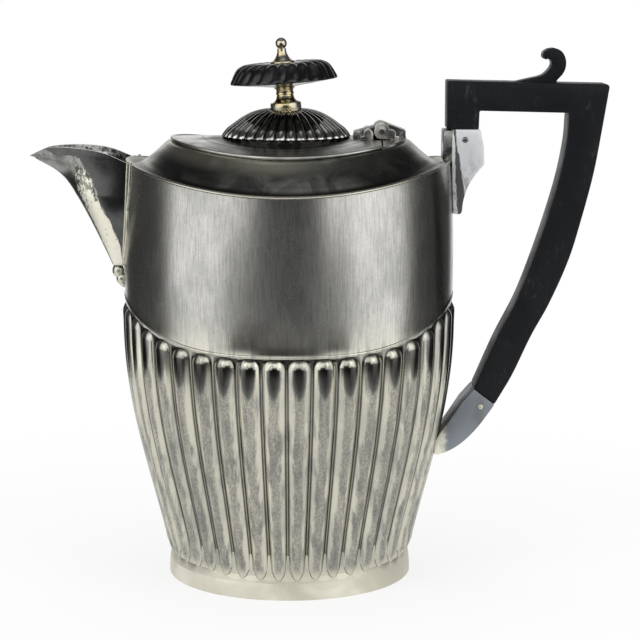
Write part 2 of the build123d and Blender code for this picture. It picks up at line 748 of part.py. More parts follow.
with BuildPart() as spout:
    add(spout_outside)
    add(spout_hollow, mode=Mode.SUBTRACT)
    with BuildSketch(Plane.XZ):
        with BuildLine():
            Spline(
                (SPOUT_TIP_X - 8, SPOUT_TIP_Z - 5.5),
                (SPOUT_TIP_X, SPOUT_TIP_Z),
                (SPOUT_TIP_X + 8, SPOUT_TIP_Z + 3.3),
                (SPOUT_TIP_X + 18, SPOUT_TIP_Z + 3.7),
                (SPOUT_TIP_X + 31, SPOUT_TIP_Z + 1.6),
                (SPOUT_TIP_X + 45, SPOUT_TIP_Z - 4.0))
            Polyline(
                (SPOUT_TIP_X + 45, SPOUT_TIP_Z - 4.0),
                (SPOUT_TIP_X + 45, SPOUT_HIGH + 5),
                (SPOUT_TIP_X - 8, SPOUT_HIGH + 5),
                (SPOUT_TIP_X - 8, SPOUT_TIP_Z - 5.5))
        make_face()
    extrude(amount=30, both=True, mode=Mode.SUBTRACT)
    add(upper_outside.part, mode=Mode.SUBTRACT)
    add(shoulder_form, mode=Mode.SUBTRACT)

# Spout drop: a small cast leaf that finishes the spout's root
with BuildPart() as spout_drop:
    with BuildSketch(Plane.XZ):
        with BuildLine():
            Polyline(
                (SPOUT_ROOT_X, SPOUT_LOW),
                (SPOUT_TIP_X + 31, SPOUT_LOW),
                (SPOUT_TIP_X + 31.4, SPOUT_LOW - 2.2),
                (SPOUT_TIP_X + 32.7, DROP_LOW + 1.2))
            ThreePointArc(
                (SPOUT_TIP_X + 32.7, DROP_LOW + 1.2),
                (SPOUT_TIP_X + 34.2, DROP_LOW + 0.1),
                (SPOUT_TIP_X + 36.0, DROP_LOW))
            Polyline((SPOUT_TIP_X + 36.0, DROP_LOW), (SPOUT_ROOT_X, DROP_LOW), (SPOUT_ROOT_X, SPOUT_LOW))
        make_face()
    extrude(amount=DROP_HALF, both=True)
    chamfer(spout_drop.edges().filter_by(Axis.Y, reverse=True).group_by(Axis.X)[0], 0.8)
    add(upper_outside.part, mode=Mode.SUBTRACT)
    add(band_outside, mode=Mode.SUBTRACT)
    add(spout.part, mode=Mode.SUBTRACT)

# Handle: the leg, the bar and the long curved arm are one outline, set out from the rim

def from_rim(x, z):
    """A point of the handle's outline, so far out from the body's rim."""
    return (RIM_HALF + x, z)


JOINT_MIDDLE = Vector((JOINT_INNER[0] + JOINT_OUTER[0]) / 2, 0, (JOINT_INNER[1] + JOINT_OUTER[1]) / 2)
JOINT_ALONG = Vector(JOINT_OUTER[0] - JOINT_INNER[0], 0, JOINT_OUTER[1] - JOINT_INNER[1])
JOINT_LENGTH = JOINT_ALONG.length
JOINT = Plane(
    origin=JOINT_MIDDLE,
    x_dir=JOINT_ALONG,
    z_dir=(JOINT_ALONG.Z, 0, -JOINT_ALONG.X))
TENON_RIGHT = SOCKET_RIGHT - SOCKET_WALL - TENON_GAP
TENON_HALF = SOCKET_HALF - SOCKET_WALL - TENON_GAP

with BuildPart() as handle_grip:
    with BuildSketch(Plane.XZ):
        with BuildLine():
            Polyline(
                (LEG_RIGHT, SOCKET_TOP),
                (GRIP_LEFT, SOCKET_TOP),
                (GRIP_LEFT, GRIP_TOP + 0.6),
                (GRIP_RIGHT, GRIP_TOP - 0.8))
            Spline((GRIP_RIGHT, GRIP_TOP - 0.8), from_rim(54.4, 158.1), from_rim(45.4, 124.8),
                   from_rim(31.5, 95.1), JOINT_OUTER)
            Line(JOINT_OUTER, JOINT_INNER)
            Spline(JOINT_INNER, from_rim(18.0, 93.5), from_rim(31.7, 124.8), from_rim(41.0, 155.6),
                   from_rim(44.4, 181.0))
            Polyline(from_rim(44.4, 181.0), (LEG_RIGHT, 181.8), (LEG_RIGHT, SOCKET_TOP))
        make_face()
    extrude(amount=GRIP_HALF, both=True)
    sides = handle_grip.edges().group_by(Axis.Y)
    chamfer([edge for edge in [*sides[0], *sides[-1]] if edge.length > LONG_EDGE], ARM_CHAMFER)
    with BuildSketch(Plane.XZ):
        with BuildLine():
            Line(from_rim(39.7, GRIP_TOP - 2), from_rim(24.3, GRIP_TOP - 2))
            Line(from_rim(24.3, GRIP_TOP - 2), from_rim(25.0, GRIP_TOP + 1.2))
            ThreePointArc(from_rim(25.0, GRIP_TOP + 1.2), from_rim(33.8, GRIP_TOP + 3.0),
                          from_rim(37.0, GRIP_TOP + 7.6))
            ThreePointArc(from_rim(37.0, GRIP_TOP + 7.6), from_rim(34.9, GRIP_TOP + 10.2),
                          from_rim(37.6, GRIP_TOP + 12.4))
            ThreePointArc(from_rim(37.6, GRIP_TOP + 12.4), from_rim(42.6, GRIP_TOP + 8.2),
                          from_rim(39.7, GRIP_TOP - 2))
        make_face()
    extrude(amount=SCROLL_HALF, both=True)
    with BuildSketch(Plane.XY.offset(SOCKET_TOP)):
        with Locations((TENON_LEFT + TENON_GAP, 0)):
            Rectangle(TENON_RIGHT - TENON_LEFT - TENON_GAP, 2 * TENON_HALF, align=(Align.MIN, Align.CENTER))
    extrude(amount=-UPPER_TENON)
    with BuildSketch(JOINT):
        Rectangle(JOINT_LENGTH - 2 * TENON_INSET, 2 * TENON_HALF)
    extrude(amount=LOWER_TENON)
    with BuildSketch(Plane.XZ):
        with Locations(UPPER_PIN, LOWER_PIN):
            Circle(CROSS_PIN_R + PIN_PLAY)
    extrude(amount=GRIP_HALF, both=True, mode=Mode.SUBTRACT)

# Upper socket: stands on the shoulder and against the wall
with BuildPart() as upper_socket:
    with BuildSketch(Plane.XZ):
        with BuildLine():
            Polyline(
                (SOCKET_LEFT - 2, SOCKET_BOTTOM),
                from_rim(0.5, SOCKET_BOTTOM),
                from_rim(4.6, SOCKET_BOTTOM + 1.3))
            ThreePointArc(from_rim(4.6, SOCKET_BOTTOM + 1.3), from_rim(6.0, 152.2), from_rim(9.3, 158.0))
            ThreePointArc(from_rim(9.3, 158.0), from_rim(12.1, 163.2), (SOCKET_RIGHT + 0.5, 169.9))
            Polyline(
                (SOCKET_RIGHT + 0.5, 169.9),
                (SOCKET_RIGHT, SOCKET_TOP),
                (SOCKET_LEFT, SOCKET_TOP),
                (SOCKET_LEFT, 160),
                (SOCKET_LEFT - 2, 158),
                (SOCKET_LEFT - 2, SOCKET_BOTTOM))
        make_face()
    extrude(amount=SOCKET_HALF, both=True)
    chamfer(
        upper_socket.edges().filter_by(Axis.Z).filter_by_position(Axis.X, SOCKET_LEFT - 0.1, SOCKET_LEFT + 0.1),
        SOCKET_CHAMFER)
    with BuildSketch(Plane.XY.offset(SOCKET_TOP)):
        with Locations((TENON_LEFT, 0)):
            Rectangle(SOCKET_RIGHT - SOCKET_WALL - TENON_LEFT, 2 * (SOCKET_HALF - SOCKET_WALL),
                      align=(Align.MIN, Align.CENTER))
    extrude(amount=-UPPER_TENON - 2 * TENON_GAP, mode=Mode.SUBTRACT)
    with BuildSketch(Plane.XZ):
        with Locations(UPPER_PIN):
            Circle(CROSS_PIN_R)
    extrude(amount=SOCKET_HALF, both=True, mode=Mode.SUBTRACT)
    add(upper_form.part, mode=Mode.SUBTRACT)
    add(shoulder_form, mode=Mode.SUBTRACT)

# Lower socket: curves down from the arm's end to the lobed wall
with BuildPart() as lower_socket:
    with BuildSketch(Plane.XZ):
        with BuildLine():
            Line(JOINT_INNER, JOINT_OUTER)
            Spline(JOINT_OUTER, from_rim(12.7, 60.7), from_rim(4.9, 52.5), from_rim(-3.6, 48.1))
            Polyline(from_rim(-3.6, 48.1), (half_length(48.1) - 8, 48.1), (half_length(48.1) - 8, 53.5),
                     from_rim(-5.0, 53.5))
            Spline(from_rim(-5.0, 53.5), from_rim(0.3, 61.7), from_rim(5.1, 69.8), JOINT_INNER)
        make_face()
    extrude(amount=SOCKET_HALF, both=True)
    with BuildSketch(JOINT):
        Rectangle(JOINT_LENGTH - 2 * TENON_INSET + 2 * TENON_GAP, 2 * (SOCKET_HALF - SOCKET_WALL))
    extrude(amount=LOWER_TENON + 2 * TENON_GAP, mode=Mode.SUBTRACT)
    with BuildSketch(Plane.XZ):
        with Locations(LOWER_PIN):
            Circle(CROSS_PIN_R)
    extrude(amount=SOCKET_HALF, both=True, mode=Mode.SUBTRACT)
    add(band_outside, mode=Mode.SUBTRACT)


def cross_pin(place):
    """A pin through a socket and its tenon, standing a little proud at each end."""
    with BuildPart() as pin:
        with BuildSketch(Plane.XZ):
            with Locations(place):
                Circle(CROSS_PIN_R)
        extrude(amount=SOCKET_HALF + PIN_PROUD, both=True)
        ends = pin.faces().sort_by(Axis.Y)
        chamfer([*ends[0].edges(), *ends[-1].edges()], PIN_PROUD)
    return pin.part


with BuildPart() as upper_handle_pin:
    add(cross_pin(UPPER_PIN))

with BuildPart() as lower_handle_pin:
    add(cross_pin(LOWER_PIN))

body_shell.part.label = "body_shell"
foot_ring.part.label = "foot_ring"
base_plate.part.label = "base_plate"
shoulder_collar.part.label = "shoulder_collar"
seat_ring.part.label = "seat_ring"
hinge_bed.part.label = "hinge_bed"
spout.part.label = "spout"
spout_drop.part.label = "spout_drop"
upper_socket.part.label = "upper_socket"
lower_socket.part.label = "lower_socket"
handle_grip.part.label = "handle_grip"
upper_handle_pin.part.label = "upper_handle_pin"
lower_handle_pin.part.label = "lower_handle_pin"
hinge_body_leaf.part.label = "hinge_body_leaf"
hinge_pin.part.label = "hinge_pin"
lid_pan.part.label = "lid_pan"
lid_dome.part.label = "lid_dome"
lid_flange.part.label = "lid_flange"
hinge_lid_leaf.part.label = "hinge_lid_leaf"
finial_stem.part.label = "finial_stem"
finial_disc.part.label = "finial_disc"
finial_cap.part.label = "finial_cap"
finial_stud.part.label = "finial_stud"
finial_washer.part.label = "finial_washer"
finial_nut.part.label = "finial_nut"

export_step(body_shell.part, "parts/body_shell.step")
export_step(foot_ring.part, "parts/foot_ring.step")
export_step(base_plate.part, "parts/base_plate.step")
export_step(shoulder_collar.part, "parts/shoulder_collar.step")
export_step(seat_ring.part, "parts/seat_ring.step")
export_step(hinge_bed.part, "parts/hinge_bed.step")
export_step(spout.part, "parts/spout.step")
export_step(spout_drop.part, "parts/spout_drop.step")
export_step(upper_socket.part, "parts/upper_socket.step")
export_step(lower_socket.part, "parts/lower_socket.step")
export_step(handle_grip.part, "parts/handle_grip.step")
export_step(upper_handle_pin.part, "parts/upper_handle_pin.step")
export_step(lower_handle_pin.part, "parts/lower_handle_pin.step")
export_step(hinge_body_leaf.part, "parts/hinge_body_leaf.step")
export_step(hinge_pin.part, "parts/hinge_pin.step")
export_step(lid_pan.part, "parts/lid_pan.step")
export_step(lid_dome.part, "parts/lid_dome.step")
export_step(lid_flange.part, "parts/lid_flange.step")
export_step(hinge_lid_leaf.part, "parts/hinge_lid_leaf.step")
export_step(finial_stem.part, "parts/finial_stem.step")
export_step(finial_disc.part, "parts/finial_disc.step")
export_step(finial_cap.part, "parts/finial_cap.step")
export_step(finial_stud.part, "parts/finial_stud.step")
export_step(finial_washer.part, "parts/finial_washer.step")
export_step(finial_nut.part, "parts/finial_nut.step")
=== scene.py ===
import math
from bisect import bisect
from collections import namedtuple

import bmesh
import bpy
from bpy.props import FloatProperty, FloatVectorProperty, IntProperty, PointerProperty
from mathutils import Matrix, Vector
from mathutils.geometry import interpolate_bezier


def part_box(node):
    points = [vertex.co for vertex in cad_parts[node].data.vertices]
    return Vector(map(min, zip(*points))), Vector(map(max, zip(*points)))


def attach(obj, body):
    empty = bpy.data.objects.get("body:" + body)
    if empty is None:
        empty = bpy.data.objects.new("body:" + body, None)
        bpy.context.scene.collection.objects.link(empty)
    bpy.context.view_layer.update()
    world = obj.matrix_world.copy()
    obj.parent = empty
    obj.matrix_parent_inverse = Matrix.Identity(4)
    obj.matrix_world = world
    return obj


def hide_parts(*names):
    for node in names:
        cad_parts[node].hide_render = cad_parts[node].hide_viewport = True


bl_info = {
    "name": "Silver-plated coffee pot",
    "version": (1, 0, 0),
    "blender": (4, 5, 0),
    "location": "3D View > Sidebar > Coffee pot",
    "description": "Builds the finished surfaces of the oval coffee pot around its CAD frame",
    "category": "Add Mesh",
}

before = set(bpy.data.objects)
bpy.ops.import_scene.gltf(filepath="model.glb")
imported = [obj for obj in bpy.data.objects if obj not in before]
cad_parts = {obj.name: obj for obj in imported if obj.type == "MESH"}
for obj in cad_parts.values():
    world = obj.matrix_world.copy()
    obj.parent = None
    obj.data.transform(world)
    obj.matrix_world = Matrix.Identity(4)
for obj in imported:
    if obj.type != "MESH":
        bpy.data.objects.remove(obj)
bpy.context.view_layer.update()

MM = 0.001
FULL_TURN = 2 * math.pi
FOOT_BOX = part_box("foot_ring")
COLLAR_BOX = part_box("shoulder_collar")
GRIP_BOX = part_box("handle_grip")
HINGE_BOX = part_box("hinge_pin")


def size_property(name, description, default):
    """A length that a user may change, in metres."""
    return FloatProperty(name=name, description=description, default=default, unit="LENGTH", precision=4)


def colour_property(name, description, default):
    """A colour that a user may change."""
    return FloatVectorProperty(
        name=name, description=description, default=default, subtype="COLOR", size=3, min=0.0, max=1.0)


class BodySettings(bpy.types.PropertyGroup):
    """Sizes of the oval body and its lobes."""

    oval: FloatProperty(name="Oval", description="The body's width over its length", default=0.90)
    wall: size_property("Wall", "Thickness of the body's sheet", 1.0 * MM)
    foot_half: size_property("Foot", "Half the foot's length", FOOT_BOX[1].x)
    foot_height: size_property("Foot height", "Height of the plain foot band", FOOT_BOX[1].z)
    waist_half: size_property("Waist", "Half length above the foot", 46.7 * MM)
    waist_height: size_property("Waist height", "Height of the waist", 9.8 * MM)
    belly_half: size_property("Belly", "Half length at the widest part", 63.1 * MM)
    belly_height: size_property("Belly height", "Height of the widest part", 100.0 * MM)
    rim_half: size_property("Rim", "Half length at the rim", 62.2 * MM)
    rim_height: size_property("Rim height", "Height of the rim at the spout and the handle", 163.4 * MM)
    upper_bulge: size_property("Upper bulge", "How far the plain upper wall swells", 0.9 * MM)
    lobes: IntProperty(name="Lobes", description="Number of vertical lobes", default=40, min=8, max=80)
    lobe_rise: size_property("Lobe rise", "How far a lobe stands out of its channels", 1.8 * MM)
    lobe_head: size_property("Lobe head", "Length of a lobe's round head", 4.3 * MM)
    lobe_tip: size_property("Lobe tip", "Length of a lobe's pointed lower end", 3.6 * MM)
    head_height: size_property("Head height", "Height of the lobes' heads at the front", 95.4 * MM)
    head_lift: size_property("Head lift", "How much higher the heads are at the spout", 13.5 * MM)
    tip_height: size_property("Tip height", "Height of the lobes' tips at the front", 7.6 * MM)
    tip_lift: size_property("Tip lift", "How much higher the tips are at the spout", 2.2 * MM)
    flare: size_property("Flare", "How far the edge above the heads stands out", 0.3 * MM)
    flare_low: size_property("Flare width", "Width of that edge at the front", 0.8 * MM)
    flare_grow: size_property("Flare growth", "How much wider that edge is at the spout", 2.0 * MM)


class LidSettings(bpy.types.PropertyGroup):
    """Sizes of the shoulder, the lid, its dome and its finial."""

    vault_radius: size_property(
        "Vault radius", "Radius on which the top bends to the front and back", 178.0 * MM)
    sheet: size_property("Sheet", "Thickness of the shoulder's and lid's sheet", 0.9 * MM)
    neck_half: size_property("Neck", "Half length of the neck and the lid", 45.2 * MM)
    neck_height: size_property("Neck height", "Height of the neck at its long middle line", 170.5 * MM)
    lid_height: size_property("Lid height", "Height of the lid's plate at its long middle line", 171.5 * MM)
    lid_end: size_property("Lid end", "Where the plate ends at the hinge", 35.2 * MM)
    dome_middle: size_property("Dome middle", "Place of the dome along the lid", -0.9 * MM)
    dome_radius: size_property("Dome radius", "Radius of the gadrooned dome", 24.4 * MM)
    dome_top: size_property("Dome top", "Height of the dome's crown", 182.6 * MM)
    gadroons: IntProperty(name="Gadroons", description="Number of gadroons round the dome", default=36)
    gadroon_rise: size_property("Gadroon rise", "How far a gadroon stands out", 1.0 * MM)
    finial_lean: FloatProperty(
        name="Finial lean", description="Lean of the finial towards the spout",
        default=math.radians(4.2), subtype="ANGLE")
    disc_radius: size_property("Disc radius", "Radius of the black disc", 20.5 * MM)
    flutes: IntProperty(name="Flutes", description="Number of flutes round the disc", default=24)
    flute_rise: size_property("Flute rise", "How far a flute stands out", 0.7 * MM)
    ball_radius: size_property("Ball radius", "Radius of the brass ball", 2.2 * MM)


class SpoutSettings(bpy.types.PropertyGroup):
    """Sizes of the cast spout."""

    low: size_property("Low end", "Height of the spout's root", 122.0 * MM)
    tip_x: size_property("Beak", "Where the beak ends, along X", -99.5 * MM)
    tip_z: size_property("Beak height", "Height of the beak's tip", 164.2 * MM)
    beak_low: size_property("Beak start", "Height at which the keel begins to sharpen", 150.0 * MM)
    half: size_property("Half width", "Half width of the spout at the body", 14.0 * MM)
    root_half: size_property("Root", "Half width of the spout at its root", 3.0 * MM)
    wall: size_property("Wall", "Thickness of the casting", 1.1 * MM)


class HandleSettings(bpy.types.PropertyGroup):
    """Sizes of the handle and its sockets."""

    half: size_property("Half thickness", "Half the handle's thickness", GRIP_BOX[1].y)
    rounding: size_property("Rounding", "Radius on the handle's edges", 0.8 * MM)
    scroll_half: size_property("Scroll half", "Half the thumb scroll's thickness", 3.8 * MM)
    socket_half: size_property("Socket half", "Half the sockets' thickness", 8.0 * MM)
    pin_radius: size_property("Pin radius", "Radius of the cross pins' heads", 1.15 * MM)


class FinishSettings(bpy.types.PropertyGroup):
    """Colours of the finishes."""

    plate: colour_property("Plate", "Polished silver plate", (0.60, 0.59, 0.56))
    tarnish: colour_property("Tarnish", "Plate dulled by tarnish", (0.30, 0.30, 0.28))
    # Also the colour of the painted highlights on the shoulder and the hinge
    warm: colour_property("Warm plate", "Plate worn to a warm, creamy grey", (0.62, 0.60, 0.50))
    grey: colour_property(
        "Grey plate", "Satin plate of the beak, between bright and dark", (0.17, 0.17, 0.165))
    # Also the colour of the painted dark reflections on the body's lobes and of the painted shade on the
    # upper socket
    charcoal: colour_property("Charcoal", "Plate blackened by tarnish", (0.085, 0.088, 0.085))
    # On the spout this colour is a painted reflection of the pale floor
    cream: colour_property("Cream", "Bright worn plate of the spout", (0.86, 0.84, 0.72))
    # Also the colour of painted shade: in the crease above the lobes, under their heads, in the shoulder's
    # trough, round the dome and under its gadroons
    soot: colour_property("Soot", "Dirt that stays in the hollows", (0.035, 0.033, 0.030))
    brass: colour_property("Brass", "Brass of the finial", (0.60, 0.50, 0.26))
    wood: colour_property("Wood", "Ebonised wood", (0.007, 0.008, 0.010))
    dust: colour_property("Dust", "Dusty scratches on the wood", (0.075, 0.085, 0.095))
    disc: colour_property("Disc", "Glossy black of the finial's disc", (0.006, 0.006, 0.007))
    disc_rubbed: colour_property("Rubbed disc", "Where the disc's black is rubbed", (0.016, 0.017, 0.019))
    disc_hollow: colour_property("Disc hollow", "Between the disc's flutes", (0.002, 0.002, 0.002))
    white: colour_property("White plate", "Whitish dull plate of the upper socket", (0.74, 0.76, 0.77))
    cool: colour_property("Cool plate", "Bluish dull plate of the lower socket", (0.25, 0.275, 0.30))
    floor: colour_property("Floor", "Pale floor", (0.92, 0.92, 0.92))


class PotSettings(bpy.types.PropertyGroup):
    """Everything that a user may change."""

    body: PointerProperty(type=BodySettings, name="Body", description="Sizes of the body")
    lid: PointerProperty(type=LidSettings, name="Lid", description="Sizes of the shoulder and the lid")
    spout: PointerProperty(type=SpoutSettings, name="Spout", description="Sizes of the spout")
    handle: PointerProperty(type=HandleSettings, name="Handle", description="Sizes of the handle")
    finish: PointerProperty(type=FinishSettings, name="Finish", description="Colours of the finishes")


def settings():
    """The pot's settings in this scene."""
    return bpy.context.scene.coffee_pot


# Shapes that several pieces share

def smooth_step(x):
    """Rises from 0 to 1 without a corner."""
    x = max(0.0, min(1.0, x))
    return x * x * (3 - 2 * x)


def spread(low, high, steps):
    """Even numbers from low to high."""
    return [low + (high - low) * n / steps for n in range(steps + 1)]


def curve_through(points, steps):
    """A smooth line through a few points, with some steps between each two."""
    knots = [Vector(p) for p in (points[0], *points, points[-1])]
    line = []
    for before, start, end, after in zip(knots, knots[1:], knots[2:], knots[3:]):
        reach = (end - start).length / 3
        away = (end - before).normalized() * reach
        back = (after - start).normalized() * reach
        line += interpolate_bezier(start, start + away, end - back, end, steps + 1)[:-1]
    return [*line, knots[-1]]


def spread_line(start, end, steps):
    """Even points on a straight line."""
    return [Vector(start).lerp(Vector(end), n / steps) for n in range(steps + 1)]


def in_mm(points):
    """Points given in millimetres, as metres."""
    return [tuple(n * MM for n in p) for p in points]


def from_place(x, z, steps):
    """Points given in millimetres from a place."""
    return [(x + across * MM, z + up * MM) for across, up in steps]


class BodyWall:
    """The oval wall of the body, without its lobes."""

    def __init__(self, sizes, vault_radius, sheet):
        for name in BodySettings.__annotations__:
            setattr(self, name, getattr(sizes, name))
        self.vault_radius = vault_radius
        self.top_height = self.rim_height - sheet
        self.walked = [0.0]
        self.steps = 1440
        for step in range(self.steps):
            angle = FULL_TURN * (step + 0.5) / self.steps
            self.walked.append(self.walked[-1] + math.hypot(math.sin(angle), self.oval * math.cos(angle)))

    def half_length(self, z):
        """Half of the body's length along X, at a height."""
        if z < self.waist_height:
            s = (self.waist_height - z) / self.waist_height
            return self.waist_half + (self.foot_half - self.waist_half) * s * (2 - s)
        if z < self.belly_height:
            s = (z - self.waist_height) / (self.belly_height - self.waist_height)
            return self.waist_half + (self.belly_half - self.waist_half) * math.sin(math.pi / 2 * s) ** 1.2
        s = (z - self.belly_height) / (self.rim_height - self.belly_height)
        return self.belly_half * (1 - s) + self.rim_half * s + 4 * self.upper_bulge * s * (1 - s)

    def angle_at(self, share):
        """The oval's angle after a share of the way round its edge."""
        want = (share % 1) * self.walked[-1]
        step = max(0, min(bisect(self.walked, want), self.steps) - 1)
        part = (want - self.walked[step]) / (self.walked[step + 1] - self.walked[step])
        return FULL_TURN * (step + part) / self.steps

    def point(self, angle, z, lift=0.0):
        """A point on the wall, lifted off it outwards."""
        half = self.half_length(z)
        outward = Vector((self.oval * math.cos(angle), math.sin(angle), 0)).normalized()
        return Vector((half * math.cos(angle), self.oval * half * math.sin(angle), z)) + outward * lift

    def heads(self, angle):
        """Height of the lobes' heads."""
        return self.head_height + self.head_lift * math.cos(angle) ** 4

    def tips(self, angle):
        """Height of the lobes' lower tips."""
        return self.tip_height + self.tip_lift * math.cos(angle) ** 2

    def flare_width(self, angle):
        """Width of the raised edge above the heads."""
        return self.flare_low + self.flare_grow * math.cos(angle) ** 4

    def top(self, angle):
        """Height of the wall's upper edge, which dips to the front and back."""
        y = self.oval * self.rim_half * math.sin(angle)
        return self.top_height - vault_drop(y, self.vault_radius)

    def side_x(self, y, z, lift=0.0):
        """How far out the wall is along X, at a distance from the middle plane."""
        half = self.half_length(z)
        return half * math.sqrt(max(0.0, 1 - (y / (self.oval * half)) ** 2)) + lift


def vault_drop(y, radius):
    """How far the vaulted top falls at a distance from the long middle line."""
    return radius - math.sqrt(radius ** 2 - y ** 2)


def pot_wall():
    """The body's wall with the scene's settings."""
    pot = settings()
    return BodyWall(pot.body, pot.lid.vault_radius, pot.lid.sheet)


# Making meshes

def spun(profile, steps, closed=False):
    """A line of (radius, height) points spun once round Z."""
    bm = bmesh.new()
    verts = [bm.verts.new((r, 0, z)) for r, z in profile]
    pairs = list(zip(verts, verts[1:]))
    if closed:
        pairs.append((verts[-1], verts[0]))
    edges = [bm.edges.new(pair) for pair in pairs]
    bmesh.ops.spin(
        bm, geom=verts + edges, cent=(0, 0, 0), axis=(0, 0, 1), angle=FULL_TURN,
        steps=steps, use_merge=True, use_duplicate=False)
    bmesh.ops.remove_doubles(bm, verts=bm.verts, dist=1e-7)
    bmesh.ops.recalc_face_normals(bm, faces=bm.faces)
    return bm


def mapped_sheet(across, up, place):
    """A flat grid whose points are moved to place(u, v), where u and v run from 0 to 1."""
    bm = bmesh.new()
    bmesh.ops.create_grid(bm, x_segments=across, y_segments=up, size=0.5)
    for vert in bm.verts:
        vert.co = place(vert.co.x + 0.5, vert.co.y + 0.5)
    bmesh.ops.remove_doubles(bm, verts=bm.verts, dist=1e-6)
    bmesh.ops.recalc_face_normals(bm, faces=bm.faces)
    return bm


def sawn_slab(outline, low, high, rounding, segments=3):
    """A piece sawn to an outline in X and Z, from low to high along Y, with its edges rounded over."""
    bm = bmesh.new()
    face = bm.faces.new([bm.verts.new((x, low, z)) for x, z in outline])
    grown = bmesh.ops.extrude_face_region(bm, geom=[face])["geom"]
    moved = [g for g in grown if isinstance(g, bmesh.types.BMVert)]
    bmesh.ops.translate(bm, vec=(0, high - low, 0), verts=moved)
    bmesh.ops.recalc_face_normals(bm, faces=bm.faces)
    sharp = [e for e in bm.edges if e.calc_face_angle(0.0) > math.radians(30)]
    bmesh.ops.bevel(
        bm, geom=sharp, offset=rounding, segments=segments, profile=0.5,
        affect="EDGES", material=-1, clamp_overlap=True)
    return bm


def joined(parts):
    """One bmesh that holds several."""
    whole = bmesh.new()
    for part in parts:
        mesh = bpy.data.meshes.new("part")
        part.to_mesh(mesh)
        part.free()
        whole.from_mesh(mesh)
        bpy.data.meshes.remove(mesh)
    return whole


def arc(centre, radius, start, end, steps=8):
    """Points on an arc about a centre, between two angles in degrees."""
    return [(centre[0] + radius * math.cos(math.radians(a)), centre[1] + radius * math.sin(math.radians(a)))
            for a in spread(start, end, steps)]


def paint(bm, name, rule):
    """Stores rule(place) on each point of a mesh, for its material to read."""
    layer = bm.verts.layers.float.get(name) or bm.verts.layers.float.new(name)
    for vert in bm.verts:
        vert[layer] = max(0.0, min(1.0, rule(vert.co)))


def place_oval_vault(bm, lid, oval):
    """Squeezes a round piece to the pot's oval and bends it down on the vault."""
    for vert in bm.verts:
        y = vert.co.y * oval
        vert.co = (vert.co.x, y, vert.co.z - vault_drop(y, lid.vault_radius))


def make_piece(name, bm, material, body, replaces=(), sharp=40):
    """Turns a bmesh into a finished piece that rides on a body of the frame."""
    mesh = bpy.data.meshes.new(name)
    bm.to_mesh(mesh)
    bm.free()
    mesh.shade_smooth()
    mesh.set_sharp_from_angle(angle=math.radians(sharp))
    mesh.materials.append(material)
    piece = bpy.data.objects.new(name, mesh)
    bpy.context.scene.collection.objects.link(piece)
    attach(piece, body)
    if replaces:
        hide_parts(*replaces)
    return piece


def dress_node(name, material):
    """Gives a CAD node that stays in view a better material."""
    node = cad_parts[name]
    node.data.materials.clear()
    node.data.materials.append(material)


# Materials

# Heights between which one finish gives way to the next below it, the higher one first: to the worn
# lobes, to the plain strip at the foot and its rougher surface, and to the upper socket's blotches
LOBES_BELOW = (114.0 * MM, 90.0 * MM)
FOOT_BELOW = (13.0 * MM, 9.0 * MM)
ROUGH_BELOW = (14.0 * MM, 10.0 * MM)
BLOTCHED_BELOW = (166.0 * MM, 152.0 * MM)
# Heights between which the spout's creamy strip, a painted reflection of the pale floor, turns peppered
PEPPERED = (140.0 * MM, 158.0 * MM)
# The painted shade on the upper socket, a dark strip down the side that turns towards the pot: its place
# along X at the base's height, its lean towards the pot, the heights between which it widens, and its half
# widths there
SHADE_STRIP_X = 81.3 * MM
SHADE_STRIP_LEAN = 0.104
SHADE_STRIP_HEIGHTS = (172.0 * MM, 146.0 * MM)
SHADE_STRIP_HALVES = (0.4 * MM, 1.7 * MM)
# Where the lower socket's rubbed tip begins and is full, along X
TIP_RUBBED = (62.5 * MM, 58.5 * MM)
# Depth of the relief that the bump nodes stand for
RELIEF = 0.1 * MM


